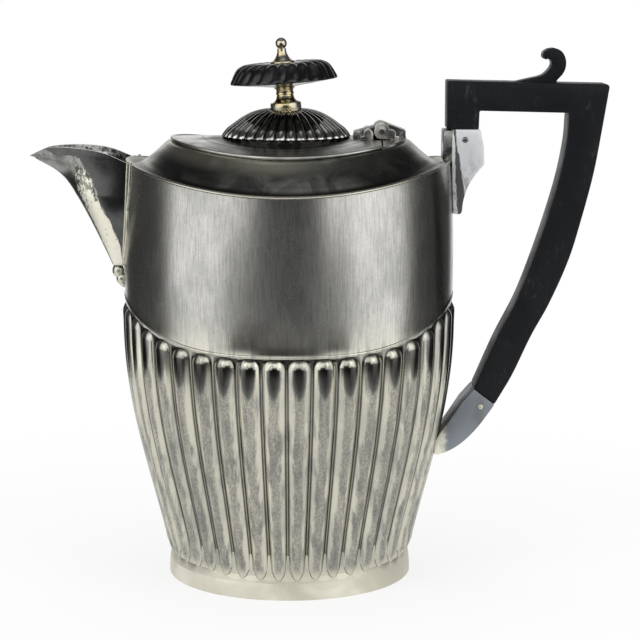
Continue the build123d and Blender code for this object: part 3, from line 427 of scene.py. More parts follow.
class Graph:
    """Short calls for the nodes of one tree."""

    def __init__(self, tree, output):
        self.tree = tree
        tree.nodes.clear()
        self.output = self.add(output)

    def add(self, kind, **choices):
        """A new node with its choices made, such as its operation."""
        node = self.tree.nodes.new(kind)
        for name, choice in choices.items():
            setattr(node, name, choice)
        return node

    def link(self, source, target):
        """Joins one node's output to another's input."""
        self.tree.links.new(source, target)

    def fill(self, socket, value):
        """Gives a socket another node's output, a number or a colour."""
        if isinstance(value, bpy.types.NodeSocket):
            self.link(value, socket)
        elif isinstance(value, (int, float)):
            socket.default_value = value
        else:
            socket.default_value = (*value, 1.0)

    def noise(self, scale, stretch=(1, 1, 1), detail=4.0, roughness=0.55, distortion=0.0):
        """Noise on the object's own coordinates, stretched along an axis where it is under 1."""
        coords = self.add("ShaderNodeTexCoord")
        mapping = self.add("ShaderNodeMapping")
        mapping.inputs["Scale"].default_value = stretch
        texture = self.add("ShaderNodeTexNoise")
        for name, value in (("Scale", scale), ("Detail", detail), ("Roughness", roughness),
                            ("Distortion", distortion)):
            texture.inputs[name].default_value = value
        self.link(coords.outputs["Object"], mapping.inputs["Vector"])
        self.link(mapping.outputs["Vector"], texture.inputs["Vector"])
        return texture.outputs["Fac"]

    def attribute(self, name):
        """A value painted on the mesh's points."""
        node = self.add("ShaderNodeAttribute")
        node.attribute_name = name
        return node.outputs["Fac"]

    def place(self, axis):
        """Place along an axis, in metres."""
        coords = self.add("ShaderNodeTexCoord")
        split = self.add("ShaderNodeSeparateXYZ")
        self.link(coords.outputs["Object"], split.inputs["Vector"])
        return split.outputs[axis]

    def height(self):
        """Height above the base, in metres."""
        return self.place("Z")

    def ramp(self, value, low, high, to_low=0.0, to_high=1.0):
        """A value taken from one range to another without corners, and held at its ends."""
        node = self.add("ShaderNodeMapRange", interpolation_type="SMOOTHSTEP")
        for name, end in (("From Min", low), ("From Max", high), ("To Min", to_low), ("To Max", to_high)):
            node.inputs[name].default_value = end
        self.link(value, node.inputs["Value"])
        return node.outputs["Result"]

    def math(self, operation, a, b):
        """Two values, each a number or another node's output, put together."""
        node = self.add("ShaderNodeMath", operation=operation)
        for socket, value in zip(node.inputs, (a, b)):
            self.fill(socket, value)
        return node.outputs["Value"]

    def window(self, value, low, rise, fall, high):
        """1 between rise and fall, 0 below low and above high."""
        return self.math("MULTIPLY", self.ramp(value, low, rise), self.ramp(value, high, fall))

    def mix(self, factor, a, b):
        """Mixes two colours, each a colour or another node's output."""
        node = self.add("ShaderNodeMix", data_type="RGBA")
        for socket, value in ((node.inputs[0], factor), (node.inputs[6], a), (node.inputs[7], b)):
            self.fill(socket, value)
        return node.outputs[2]

    def bump(self, height, strength, distance):
        """A surface roughened by a height, for relief too fine for the mesh."""
        node = self.add("ShaderNodeBump")
        node.inputs["Strength"].default_value = strength
        node.inputs["Distance"].default_value = distance
        self.link(height, node.inputs["Height"])
        return node.outputs["Normal"]

    def surface(self, colour, roughness, metallic, normal=None, **constants):
        """The principled shader at the end of the material."""
        shader = self.add("ShaderNodeBsdfPrincipled")
        shader.inputs["Metallic"].default_value = metallic
        for key, value in constants.items():
            shader.inputs[key.replace("_", " ")].default_value = value
        self.fill(shader.inputs["Base Color"], colour)
        self.fill(shader.inputs["Roughness"], roughness)
        if normal is not None:
            self.link(normal, shader.inputs["Normal"])
        self.link(shader.outputs["BSDF"], self.output.inputs["Surface"])


def new_material(name):
    """A material of this name and its empty tree. Pieces that share a name share the material."""
    material = bpy.data.materials.get(name) or bpy.data.materials.new(name)
    material.use_nodes = True
    return material, Graph(material.node_tree, "ShaderNodeOutputMaterial")


def body_plate():
    """Brushed plate: neutral and streaked above, warm and worn on the lobes, with soot in the channels, a
    painted shadow in the crease above the heads, and painted dark reflections on the crests and under the
    heads.
    """
    colours = settings().finish
    material, graph = new_material("body_plate")
    streaks = graph.noise(1900.0, (1.0, 1.0, 0.05), detail=3.0, roughness=0.6)
    brushed = graph.noise(420.0, (1.0, 1.0, 0.10), detail=4.0, roughness=0.6)
    cloud = graph.noise(48.0, (1.0, 1.0, 0.7), detail=5.0, roughness=0.62)
    speck = graph.noise(1500.0, (1.0, 1.0, 0.7), detail=3.0, roughness=0.7)
    tarnish = graph.ramp(cloud, 0.36, 0.68, 0.05, 0.50)
    tarnish = graph.math("ADD", tarnish, graph.ramp(streaks, 0.40, 0.66, 0.0, 0.36))
    tarnish = graph.math("ADD", tarnish, graph.ramp(speck, 0.44, 0.62, 0.0, 0.15))
    plain = graph.mix(tarnish, colours.plate, colours.tarnish)
    worn = graph.mix(graph.ramp(brushed, 0.46, 0.64, 0.0, 0.7), colours.warm, colours.tarnish)
    worn = graph.mix(graph.ramp(cloud, 0.44, 0.60, 0.0, 0.35), worn, colours.tarnish)
    uneven = graph.ramp(brushed, 0.3, 0.7, -0.16, 0.16)
    # The crests darken in charcoal: specks of tarnish, and a painted dark reflection
    crest = graph.ramp(graph.math("ADD", graph.attribute("crest"), uneven), 0.34, 0.66)
    crest_specks_and_reflection = graph.math("MULTIPLY", crest, graph.ramp(speck, 0.36, 0.64, 0.30, 0.62))
    worn = graph.mix(crest_specks_and_reflection, worn, colours.charcoal)
    # Painted dark reflection under the heads, in charcoal and then soot
    worn = graph.mix(graph.ramp(graph.attribute("shade"), 0.25, 0.50, 0.0, 0.92), worn, colours.charcoal)
    worn = graph.mix(graph.ramp(graph.attribute("shade"), 0.45, 0.80, 0.0, 0.85), worn, colours.soot)
    worn = graph.mix(graph.ramp(graph.height(), *FOOT_BELOW), worn, colours.warm)
    low = graph.ramp(graph.height(), *LOBES_BELOW)
    coloured = graph.mix(low, plain, worn)
    # Soot in the channels, and the painted shadow in the crease above the heads
    sooty_and_shaded = graph.mix(graph.ramp(graph.attribute("groove"), 0.25, 0.95, 0.0, 0.9), coloured, colours.soot)
    rough = graph.ramp(cloud, 0.35, 0.65, 0.22, 0.30)
    rough = graph.math("SUBTRACT", rough, graph.math("MULTIPLY", low, 0.08))
    rough = graph.math("ADD", rough, graph.ramp(graph.height(), *ROUGH_BELOW, 0.0, 0.25))
    relief = graph.math("ADD", streaks, graph.math("MULTIPLY", speck, 0.3))
    graph.surface(sooty_and_shaded, rough, 1.0, graph.bump(relief, 0.11, RELIEF))
    return material


# A plate that ages in clouds between two of the colours: the clouds' scale, the values between which it
# darkens, the roughness that goes with them, and the depth of its fine scratches
Aged = namedtuple("Aged", "bright dark scale darkens rough scratches")
AGED_PLATES = {
    # Creamy satin plate of the foot
    "cream_plate": Aged("cream", "warm", 40.0, (0.20, 0.60), (0.40, 0.50), 0.10),
    # Polished plate of the dome, and of the seat, the flange and the hinge's pin
    "lid_plate": Aged("plate", "tarnish", 60.0, (0.45, 0.75), (0.10, 0.20), 0.08),
    # Satin plate of the lid, the hinge's bed and the base, clouded with tarnish
    "satin_plate": Aged("plate", "tarnish", 45.0, (0.38, 0.68), (0.26, 0.42), 0.15),
    # Plate of the shoulder and the upper pin, dark with tarnish
    "charcoal_plate": Aged("tarnish", "charcoal", 80.0, (0.30, 0.62), (0.24, 0.36), 0.08),
    # Dark cast plate of the hinge and the upper socket's flange
    "dark_plate": Aged("plate", "charcoal", 150.0, (0.36, 0.58), (0.30, 0.45), 0.15),
    # Creamy cast plate of the spout's seams and leaf, and of the lower pin
    "bright_plate": Aged("warm", "tarnish", 220.0, (0.52, 0.72), (0.28, 0.45), 0.20),
}


def aged_plate(name):
    """One of the plates that age in clouds, with soot and painted shade in its hollows and painted
    highlights where they are marked.
    """
    aged = AGED_PLATES[name]
    colours = settings().finish
    material, graph = new_material(name)
    cloud = graph.noise(aged.scale, detail=4.0, distortion=0.6)
    scratch = graph.noise(420.0, (0.12, 1.0, 1.0), detail=3.0)
    bright, dark = getattr(colours, aged.bright), getattr(colours, aged.dark)
    plain = graph.mix(graph.ramp(cloud, *aged.darkens), bright, dark)
    # Painted highlights in the warm colour: the shoulder's bead, a band under the lid's edge and its
    # lighter ends; on the hinge, its rubbed outer edges
    plain = graph.mix(graph.attribute("rubbed"), plain, colours.warm)
    # Soot in the hollows, with painted shade in the shoulder's trough, round the dome and under its
    # gadroons
    sooty_and_shaded = graph.mix(graph.ramp(graph.attribute("groove"), 0.3, 1.0, 0.0, 0.92), plain, colours.soot)
    rough = graph.ramp(cloud, 0.35, 0.7, *aged.rough)
    graph.surface(sooty_and_shaded, rough, 1.0, graph.bump(scratch, aged.scratches, RELIEF))
    return material


def spout_plate():
    """Cast plate: satin at the keel, a creamy strip beside it that is a painted reflection of the pale
    floor on the worn plate, and charcoal on the flat sides.
    """
    colours = settings().finish
    material, graph = new_material("spout_plate")
    speck = graph.noise(650.0, (1.0, 1.0, 0.6), detail=4.0, roughness=0.7)
    edge = graph.noise(260.0, (1.0, 1.0, 0.7), detail=5.0, roughness=0.65)
    jagged = graph.ramp(edge, 0.3, 0.7, -0.22, 0.22)
    # The creamy strip: a painted reflection of the pale floor on the worn plate
    strip = graph.ramp(graph.math("ADD", graph.attribute("worn"), jagged), 0.44, 0.56)
    beyond = graph.ramp(graph.math("ADD", graph.attribute("side"), jagged), 0.44, 0.56)
    higher = graph.ramp(graph.height(), *PEPPERED)
    pepper = graph.ramp(graph.math("ADD", speck, graph.math("MULTIPLY", higher, 0.20)), 0.63, 0.69)
    pepper = graph.math("MULTIPLY", pepper, graph.ramp(graph.attribute("worn"), 1.2, 0.75, 0.45, 0.95))
    cream = graph.mix(pepper, colours.cream, colours.charcoal)
    keel = graph.mix(graph.ramp(edge, 0.36, 0.66), colours.tarnish, colours.grey)
    side = graph.mix(graph.ramp(edge, 0.42, 0.70, 0.0, 0.35), colours.charcoal, colours.grey)
    outer = graph.mix(strip, graph.mix(beyond, keel, side), cream)
    granular = graph.mix(graph.ramp(speck, 0.44, 0.60), colours.plate, colours.charcoal)
    colour = graph.mix(graph.attribute("inner"), outer, granular)
    rough = graph.ramp(strip, 0.0, 1.0, 0.24, 0.48)
    graph.surface(colour, rough, 1.0, graph.bump(speck, 0.25, 1.5 * RELIEF))
    return material


def white_plate():
    """Whitish plate of the upper socket, blotched below, with a painted shade in a dark strip down its
    inner side.
    """
    colours = settings().finish
    material, graph = new_material("white_plate")
    blotch = graph.noise(420.0, (1.0, 1.0, 0.6), detail=4.0, roughness=0.65)
    x, height = graph.place("X"), graph.height()
    lower = graph.math("MULTIPLY", graph.ramp(height, *BLOTCHED_BELOW), 0.6)
    spots = graph.math("MULTIPLY", graph.ramp(blotch, 0.46, 0.62), graph.math("ADD", lower, 0.1))
    worn = graph.mix(spots, colours.white, colours.tarnish)
    # Painted shade: a dark strip down the side that turns towards the pot
    inward = graph.math("ADD", x, graph.math("MULTIPLY", height, SHADE_STRIP_LEAN))
    away = graph.math("ABSOLUTE", graph.math("SUBTRACT", inward, SHADE_STRIP_X), 0.0)
    away = graph.math("ADD", away, graph.ramp(blotch, 0.3, 0.7, -0.3 * MM, 0.3 * MM))
    inside = graph.math("SUBTRACT", graph.ramp(height, *SHADE_STRIP_HEIGHTS, *SHADE_STRIP_HALVES), away)
    dark = graph.mix(graph.ramp(inside, -0.2 * MM, 0.2 * MM), worn, colours.charcoal)
    graph.surface(dark, 0.45, 0.5, graph.bump(blotch, 0.2, RELIEF))
    return material


def grey_plate():
    """Blue-grey dull plate of the lower socket, rubbed bright at its tip."""
    colours = settings().finish
    material, graph = new_material("grey_plate")
    cloud = graph.noise(110.0, (1.0, 1.0, 0.5), detail=4.0)
    blotch = graph.noise(310.0, (1.0, 1.0, 0.7), detail=3.0, roughness=0.6)
    worn = graph.mix(graph.ramp(cloud, 0.5, 0.72, 0.0, 0.5), colours.cool, colours.grey)
    ragged = graph.ramp(blotch, 0.3, 0.7, -1.2 * MM, 1.2 * MM)
    tip = graph.math("ADD", graph.place("X"), ragged)
    worn = graph.mix(graph.ramp(tip, *TIP_RUBBED), worn, colours.cream)
    graph.surface(worn, graph.ramp(cloud, 0.3, 0.7, 0.40, 0.58), 0.85, graph.bump(blotch, 0.2, RELIEF))
    return material


def warm_brass():
    """Plate worn through to brass."""
    colours = settings().finish
    material, graph = new_material("warm_brass")
    cloud = graph.noise(260.0, detail=3.0)
    colour = graph.mix(graph.ramp(cloud, 0.4, 0.65), colours.brass, colours.plate)
    graph.surface(colour, graph.ramp(cloud, 0.3, 0.7, 0.14, 0.3), 1.0)
    return material


def black_wood():
    """Ebonised wood with dusty scratches."""
    colours = settings().finish
    material, graph = new_material("black_wood")
    cloud = graph.noise(70.0, detail=6.0, roughness=0.7)
    scratch = graph.noise(380.0, (1.0, 1.0, 0.25), detail=5.0, roughness=0.75, distortion=1.5)
    dusty = graph.math("MULTIPLY", graph.ramp(cloud, 0.50, 0.70, 0.0, 0.7), graph.ramp(scratch, 0.52, 0.70))
    colour = graph.mix(dusty, colours.wood, colours.dust)
    rough = graph.ramp(cloud, 0.35, 0.7, 0.38, 0.55)
    graph.surface(colour, rough, 0.0, graph.bump(scratch, 0.10, RELIEF), Specular_IOR_Level=0.2)
    return material


def black_gloss():
    """The finial's black disc, glossier than the handle, with rubbed flutes."""
    colours = settings().finish
    material, graph = new_material("black_gloss")
    cloud = graph.noise(140.0, detail=4.0, roughness=0.6)
    colour = graph.mix(graph.ramp(cloud, 0.45, 0.65), colours.disc, colours.disc_rubbed)
    dark = graph.mix(graph.math("MULTIPLY", graph.attribute("groove"), 0.9), colour, colours.disc_hollow)
    graph.surface(dark, graph.ramp(cloud, 0.35, 0.65, 0.16, 0.34), 0.0, graph.bump(cloud, 0.10, RELIEF))
    return material


# The body

# One level of the body. height is a rule of the angle, width and rise are those of its lobes, and lift is
# how far it stands off the wall. follow is 1 where each point takes the height of its own angle, and 0
# where a whole lobe takes its middle's. cap is how far up the round head it is. edge is the soot beside a
# lobe and the darkening of its crest, in specks and a painted dark reflection; the field after it is soot
# round the heads and a painted shadow in the crease above them, the same all the way round; and shade is a
# painted dark reflection on the crest under the heads.
Ring = namedtuple(
    "Ring", "height width rise lift follow cap edge even shade", defaults=(0.0, 0.0, 0.0, 0.0))
# Steps round each lobe, the share of its place that it fills, the power of its roundness, and how deep
# its channels lie in the wall as a share of its rise
LOBE_STEPS = 16
LOBE_FILL = 0.90
LOBE_POWER = 2.1
LOBE_SINK = 0.36
# Width of the crease above the raised edge
CREASE = 0.8 * MM


def lobe_rings(wall):
    """The body's rings from the foot up over the lobes, the wall and the rim, and down inside."""
    rings = [Ring(lambda a: wall.foot_height, 1.0, 0.0, 0.0, 1.0)]

    for s in spread(0.0, 1.0, 9):
        reach = wall.lobe_tip * s
        rings.append(Ring(
            lambda a, reach=reach: wall.tips(a) + reach,
            0.10 + 0.90 * s ** 0.6, wall.lobe_rise * s ** 0.5, 0.0, 0.0, 0.0, 1.0))
    # Up the lobes to their heads, with a painted dark reflection on the crests just under the heads
    for s in spread(0.0, 1.0, 26)[1:-1]:
        rings.append(Ring(
            lambda a, s=s: (wall.tips(a) + wall.lobe_tip) * (1 - s) + (wall.heads(a) - wall.lobe_head) * s,
            1.0, wall.lobe_rise, 0.0, 0.0, 0.0, 1.0, 0.0, smooth_step((s - 0.78) / 0.20)))
    # The round heads, with the painted dark reflection fading as they rise
    for turn in spread(0.0, 0.97 * math.pi / 2, 14):
        cap = math.sin(turn)
        below = wall.lobe_head * (1 - cap)
        rings.append(Ring(
            lambda a, below=below: wall.heads(a) - below,
            math.cos(turn), wall.lobe_rise, 0.0, 0.0, cap, 1.0, 0.0, 1 - smooth_step(2.4 * cap)))

    # Above the heads: soot round them, fading across the raised edge
    for s in spread(0.14, 1.0, 8):
        rings.append(Ring(
            lambda a, s=s: wall.heads(a) + wall.flare_width(a) * s,
            min(1.0, 0.1 + s), 0.0, wall.flare * smooth_step(s), smooth_step(1.3 * s), 0.0, 0.0,
            max(0.42, 0.9 * smooth_step(1.2 - 3 * s))))
    # The crease, darkened by a painted shadow of the raised edge
    for s in spread(0.0, 1.0, 6)[1:]:
        rings.append(Ring(
            lambda a, s=s: wall.heads(a) + wall.flare_width(a) + CREASE * s,
            1.0, 0.0, wall.flare * (1 - smooth_step(s)), 1.0, 0.0, 0.0,
            0.9 * math.exp(-((s - 0.65) / 0.25) ** 2)))
    for s in spread(0.0, 1.0, 18)[1:]:
        rings.append(Ring(
            lambda a, s=s: (wall.heads(a) + wall.flare_width(a) + CREASE) * (1 - s) + wall.top(a) * s,
            1.0, 0.0, 0.0, 1.0))
    for s in spread(1.0, 0.0, 10):
        rings.append(Ring(
            lambda a, s=s: wall.foot_height * (1 - s) + wall.top(a) * s, 1.0, 0.0, -wall.wall, 1.0))
    return rings


def lobed_body(wall):
    """A plain barrel, one ring for each level, shaped into the lobed body."""
    rings = lobe_rings(wall)
    steps = wall.lobes * LOBE_STEPS
    bm = spun([(1.0, level) for level in range(len(rings))], steps, closed=True)
    groove = bm.verts.layers.float.new("groove")
    crest = bm.verts.layers.float.new("crest")
    shade = bm.verts.layers.float.new("shade")
    for vert in bm.verts:
        ring = rings[round(vert.co.z)]
        step = round(math.atan2(vert.co.y, vert.co.x) / FULL_TURN * steps) % steps
        lobe, place = divmod(step, LOBE_STEPS)
        across = 2 * (place - 1) / (LOBE_STEPS - 2) - 1 if place else 0.0
        share = (0.5 + 0.5 * across * LOBE_FILL * ring.width) if place else 0.0
        angle = wall.angle_at((lobe + share) / wall.lobes)
        middle = wall.angle_at((lobe + 0.5) / wall.lobes) if place else angle
        z = ring.height(middle) * (1 - ring.follow) + ring.height(angle) * ring.follow
        out = min(1.0, math.hypot(across * math.sqrt(1 - ring.cap ** 2), ring.cap)) if place else 1.0
        vert.co = wall.point(angle, z, ring.lift + ring.rise * (1 - out ** LOBE_POWER - LOBE_SINK))
        # groove holds soot beside the lobes and the painted shadow in the crease; crest and shade carry
        # painted dark reflections
        if ring.edge and ring.width < 1 and not ring.cap:
            vert[groove] = 0.9 * math.exp(-((out - 0.86) / 0.12) ** 2) if place else 0.0
        else:
            vert[groove] = max(ring.even, ring.edge * (out ** 8 if place else 0.55))
        vert[crest] = ring.edge * (1 - out)
        vert[shade] = ring.shade * (1 - out)
    bmesh.ops.recalc_face_normals(bm, faces=bm.faces)
    return bm


class PotBody(bpy.types.Operator):
    """Build the lobed body and the plain foot band"""

    bl_idname = "coffee_pot.body"
    bl_label = "Body and foot"

    def execute(self, context):
        wall = pot_wall()
        make_piece("lobed_body", lobed_body(wall), body_plate(), "pot", ["body_shell"])

        inner = wall.foot_half - 3.2 * MM
        edge = 0.35 * MM
        outside = [(wall.half_length(z) - (edge if z == 0 else 0), z)
                   for z in (0.0, edge, *spread(1.0 * MM, wall.foot_height, 8))]
        profile = [(inner, 0.0), *outside, (inner, wall.foot_height)]
        bm = spun(profile, 240, closed=True)
        bmesh.ops.scale(bm, vec=(1, wall.oval, 1), verts=bm.verts)
        make_piece("foot_band", bm, aged_plate("cream_plate"), "pot", ["foot_ring"])
        dress_node("base_plate", aged_plate("satin_plate"))
        return {"FINISHED"}


# Shoulder and lid

class PotShoulder(bpy.types.Operator):
    """Build the beaded rim and the hollow shoulder that rises to the neck"""

    bl_idname = "coffee_pot.shoulder"
    bl_label = "Shoulder"

    def execute(self, context):
        pot = settings()
        edge = COLLAR_BOX[1].x
        top = pot.body.rim_height
        neck, neck_top = pot.lid.neck_half, pot.lid.neck_height
        bead = curve_through([
            (edge - 0.15 * MM, top - pot.lid.sheet),
            *from_place(edge, top, [(0.0, -0.45), (-0.3, 0.0), (-1.0, 0.05), (-1.6, -0.6)])], 4)
        cove = curve_through([
            *from_place(edge, top, [(-1.6, -0.6), (-3.6, -1.6), (-6.8, -0.8), (-9.3, 0.9), (-11.8, 2.9),
                                    (-14.3, 5.2), (-16.2, 6.8)]),
            (neck, neck_top)], 8)
        under = curve_through([
            (neck - pot.lid.sheet, neck_top),
            *from_place(edge, top, [(-16.9, 6.1), (-12.4, 2.2), (-9.9, 0.1), (-7.2, -1.7), (-3.4, -2.5)]),
            (edge - 1.6 * MM, top - pot.lid.sheet)], 4)
        bm = spun([*bead[:-1], *cove, *under], 256, closed=True)
        # Soot in the trough behind the bead, with a painted dark reflection there; then painted highlights
        # on the bead and under the lid's edge
        paint(bm, "groove", lambda p: 1.3 - abs(p.xy.length - edge + 4.4 * MM) / (3.4 * MM))
        paint(bm, "rubbed", lambda p: self.rubbed(p, edge))
        place_oval_vault(bm, pot.lid, pot.body.oval)
        make_piece("shoulder", bm, aged_plate("charcoal_plate"), "pot", ["shoulder_collar"])
        dress_node("seat_ring", aged_plate("lid_plate"))
        dress_node("hinge_bed", aged_plate("satin_plate"))
        return {"FINISHED"}

    def rubbed(self, place, edge):
        """How bright the plate is painted: a painted highlight on the bead and in a band under the lid's
        edge, and lighter at both ends.
        """
        inward = edge - place.xy.length
        bead = 0.8 * smooth_step((1.2 * MM - inward) / (0.6 * MM))
        band = smooth_step((inward - 10.5 * MM) / (4.5 * MM))
        band *= 0.15 + 0.65 * smooth_step((22.0 * MM - place.x) / (34.0 * MM))
        ends = 0.50 * smooth_step((abs(place.x) - 44.0 * MM) / (12.0 * MM))
        return max(bead, band, ends)


class PotLid(bpy.types.Operator):
    """Build the lid's vaulted plate with its beaded edge"""

    bl_idname = "coffee_pot.lid"
    bl_label = "Lid plate"

    def execute(self, context):
        pot = settings()
        lid = pot.lid
        hole = lid.dome_radius - 3.2 * MM
        section = [(share, 0.0) for share in spread(0.0, 0.93, 24)]
        section += [tuple(p) for p in curve_through([
            (0.955, -0.1 * MM), (0.965, 0.3 * MM), (0.980, 0.5 * MM), (0.995, 0.3 * MM),
            (1.0, -0.2 * MM)], 4)]
        bm = spun([(1.0 + share, level) for share, level in section], 256)
        for vert in bm.verts:
            share = vert.co.xy.length - 1.0
            angle = math.atan2(vert.co.y, vert.co.x)
            inner = Vector((lid.dome_middle + hole * math.cos(angle), hole * math.sin(angle)))
            outer = Vector((math.cos(angle), pot.body.oval * math.sin(angle))) * lid.neck_half
            plan = inner.lerp(outer, share)
            vert.co = (plan.x, plan.y, lid.lid_height + vert.co.z - vault_drop(plan.y, lid.vault_radius))
        self.cut_at_hinge(bm, lid)
        dome = Vector((lid.dome_middle, 0))
        # Soot and a painted contact shadow round the dome
        paint(bm, "groove", lambda p: self.soot_and_shadow((p.xy - dome).length - lid.dome_radius))
        plate = make_piece("lid_plate", bm, aged_plate("satin_plate"), "lid", ["lid_pan"])
        sheet = plate.modifiers.new("sheet", "SOLIDIFY")
        sheet.thickness = lid.sheet - 0.05 * MM
        dress_node("lid_flange", aged_plate("lid_plate"))
        return {"FINISHED"}

    def soot_and_shadow(self, away):
        """Soot and a painted contact shadow round the dome, with a last ring where it was wiped off."""
        near = 1.0 - 0.75 * smooth_step((away - 3.0 * MM) / (4.0 * MM))
        return max(near * (1 - smooth_step((away - 8.0 * MM) / (3.0 * MM))),
                   0.85 * math.exp(-((away - 7.6 * MM) / (0.7 * MM)) ** 2))

    def cut_at_hinge(self, bm, lid):
        """Ends the sheet at the hinge and takes out its half of the knuckles' notch."""
        edge, half = lid.lid_end - 2.8 * MM, 11.5 * MM
        cuts = (((lid.lid_end, 0, 0), (1, 0, 0), True), ((edge, 0, 0), (1, 0, 0), False),
                ((0, half, 0), (0, 1, 0), False), ((0, -half, 0), (0, 1, 0), False))
        for point, normal, clear in cuts:
            everything = [*bm.verts, *bm.edges, *bm.faces]
            bmesh.ops.bisect_plane(bm, geom=everything, plane_co=point, plane_no=normal, clear_outer=clear)
        notch = [f for f in bm.faces
                 if f.calc_center_median().x > edge and abs(f.calc_center_median().y) < half]
        bmesh.ops.delete(bm, geom=notch, context="FACES")
        bmesh.ops.recalc_face_normals(bm, faces=bm.faces)
        if sum(f.normal.z for f in bm.faces) < 0:
            bmesh.ops.reverse_faces(bm, faces=bm.faces)


# One level of a round piece with raised lobes: the last field is soot between the lobes, and under 0 it is
# the same all the way round, as the painted shadow under the dome's gadroons
RaisedRing = namedtuple("RaisedRing", "radius height slope width rise turn soot")


def raised_rounds(rings, count, steps_each, fill):
    """A round piece with raised lobes that run up it, one ring for each level."""
    steps = count * steps_each
    bm = spun([(1.0, level) for level in range(len(rings))], steps)
    groove = bm.verts.layers.float.new("groove")
    for vert in bm.verts:
        ring = rings[round(vert.co.z)]
        step = round(math.atan2(vert.co.y, vert.co.x) / FULL_TURN * steps) % steps
        lobe, place = divmod(step, steps_each)
        across = 2 * (place - 1) / (steps_each - 2) - 1 if place else 0.0
        share = (0.5 + 0.5 * across * fill * ring.width) if place else 0.0
        angle = FULL_TURN * (lobe + share) / count + ring.turn
        lift = ring.rise * (1 - across * across) if place else 0.0
        radius = ring.radius + lift * math.cos(ring.slope)
        height = ring.height + lift * math.sin(ring.slope)
        vert.co = (radius * math.cos(angle), radius * math.sin(angle), height)
        vert[groove] = ring.soot * (abs(across) ** 4 if place else 1.0) if ring.soot > 0 else -ring.soot
    bmesh.ops.remove_doubles(bm, verts=bm.verts, dist=1e-6)
    bmesh.ops.recalc_face_normals(bm, faces=bm.faces)
    return bm


def slope_along(line):
    """The outward slope at each point of a line of (radius, height) points."""
    slopes = []
    for n in range(len(line)):
        before, after = line[max(0, n - 1)], line[min(len(line) - 1, n + 1)]
        slopes.append(math.atan2(before[0] - after[0], after[1] - before[1]))
    return slopes


class PotDome(bpy.types.Operator):
    """Build the gadrooned dome of the lid"""

    bl_idname = "coffee_pot.dome"
    bl_label = "Dome"

    def execute(self, context):
        lid = settings().lid
        radius, top = lid.dome_radius, lid.dome_top
        line = curve_through([
            *from_place(radius, top, [
                (-0.3, -11.2), (-0.1, -10.4), (-0.7, -9.2), (-1.9, -7.7), (-3.8, -6.2), (-5.7, -4.7),
                (-8.0, -3.1), (-10.8, -1.6), (-14.6, -0.4)]),
            (6.0 * MM, top + 0.05 * MM)], 5)
        # The three lowest rings are dark all the way round: a painted shadow under the gadroons' ends
        rings = [
            RaisedRing(radius - 1.6 * MM, top - 14.2 * MM, 0, 1.0, 0.0, 0.0, -1.0),
            RaisedRing(radius - 1.0 * MM, top - 13.2 * MM, 0, 1.0, 0.0, 0.0, -1.0),
            RaisedRing(radius - 1.1 * MM, top - 11.8 * MM, 0, 0.4, 0.0, 0.0, -1.0)]
        last = len(line) - 1
        for n, ((r, z), slope) in enumerate(zip(line, slope_along(line))):
            along = n / last
            round_end = math.sqrt(min(1.0, 0.05 + along / 0.09))
            rings.append(RaisedRing(
                r - 0.6 * MM * math.cos(slope), z - 0.6 * MM * math.sin(slope), slope, round_end,
                lid.gadroon_rise * round_end * (1 - 0.75 * along), math.radians(2.5) * along, 1.0))
        rings.append(RaisedRing(3.0 * MM, top, math.pi / 2, 1.0, 0.0, 0.0, 0.5))
        bm = raised_rounds(rings, lid.gadroons, 12, 0.90)
        bmesh.ops.translate(bm, vec=(lid.dome_middle, 0, 0), verts=bm.verts)
        piece = make_piece("gadrooned_dome", bm, aged_plate("lid_plate"), "lid", ["lid_dome"])
        walls = piece.modifiers.new("sheet", "SOLIDIFY")
        walls.thickness = 1.0 * MM
        return {"FINISHED"}


def finial_place(lid):
    """Where the finial's own axis is: it leans a little towards the spout."""
    crown = Matrix.Translation((lid.dome_middle, 0, lid.dome_top))
    return crown @ Matrix.Rotation(-lid.finial_lean, 4, "Y")


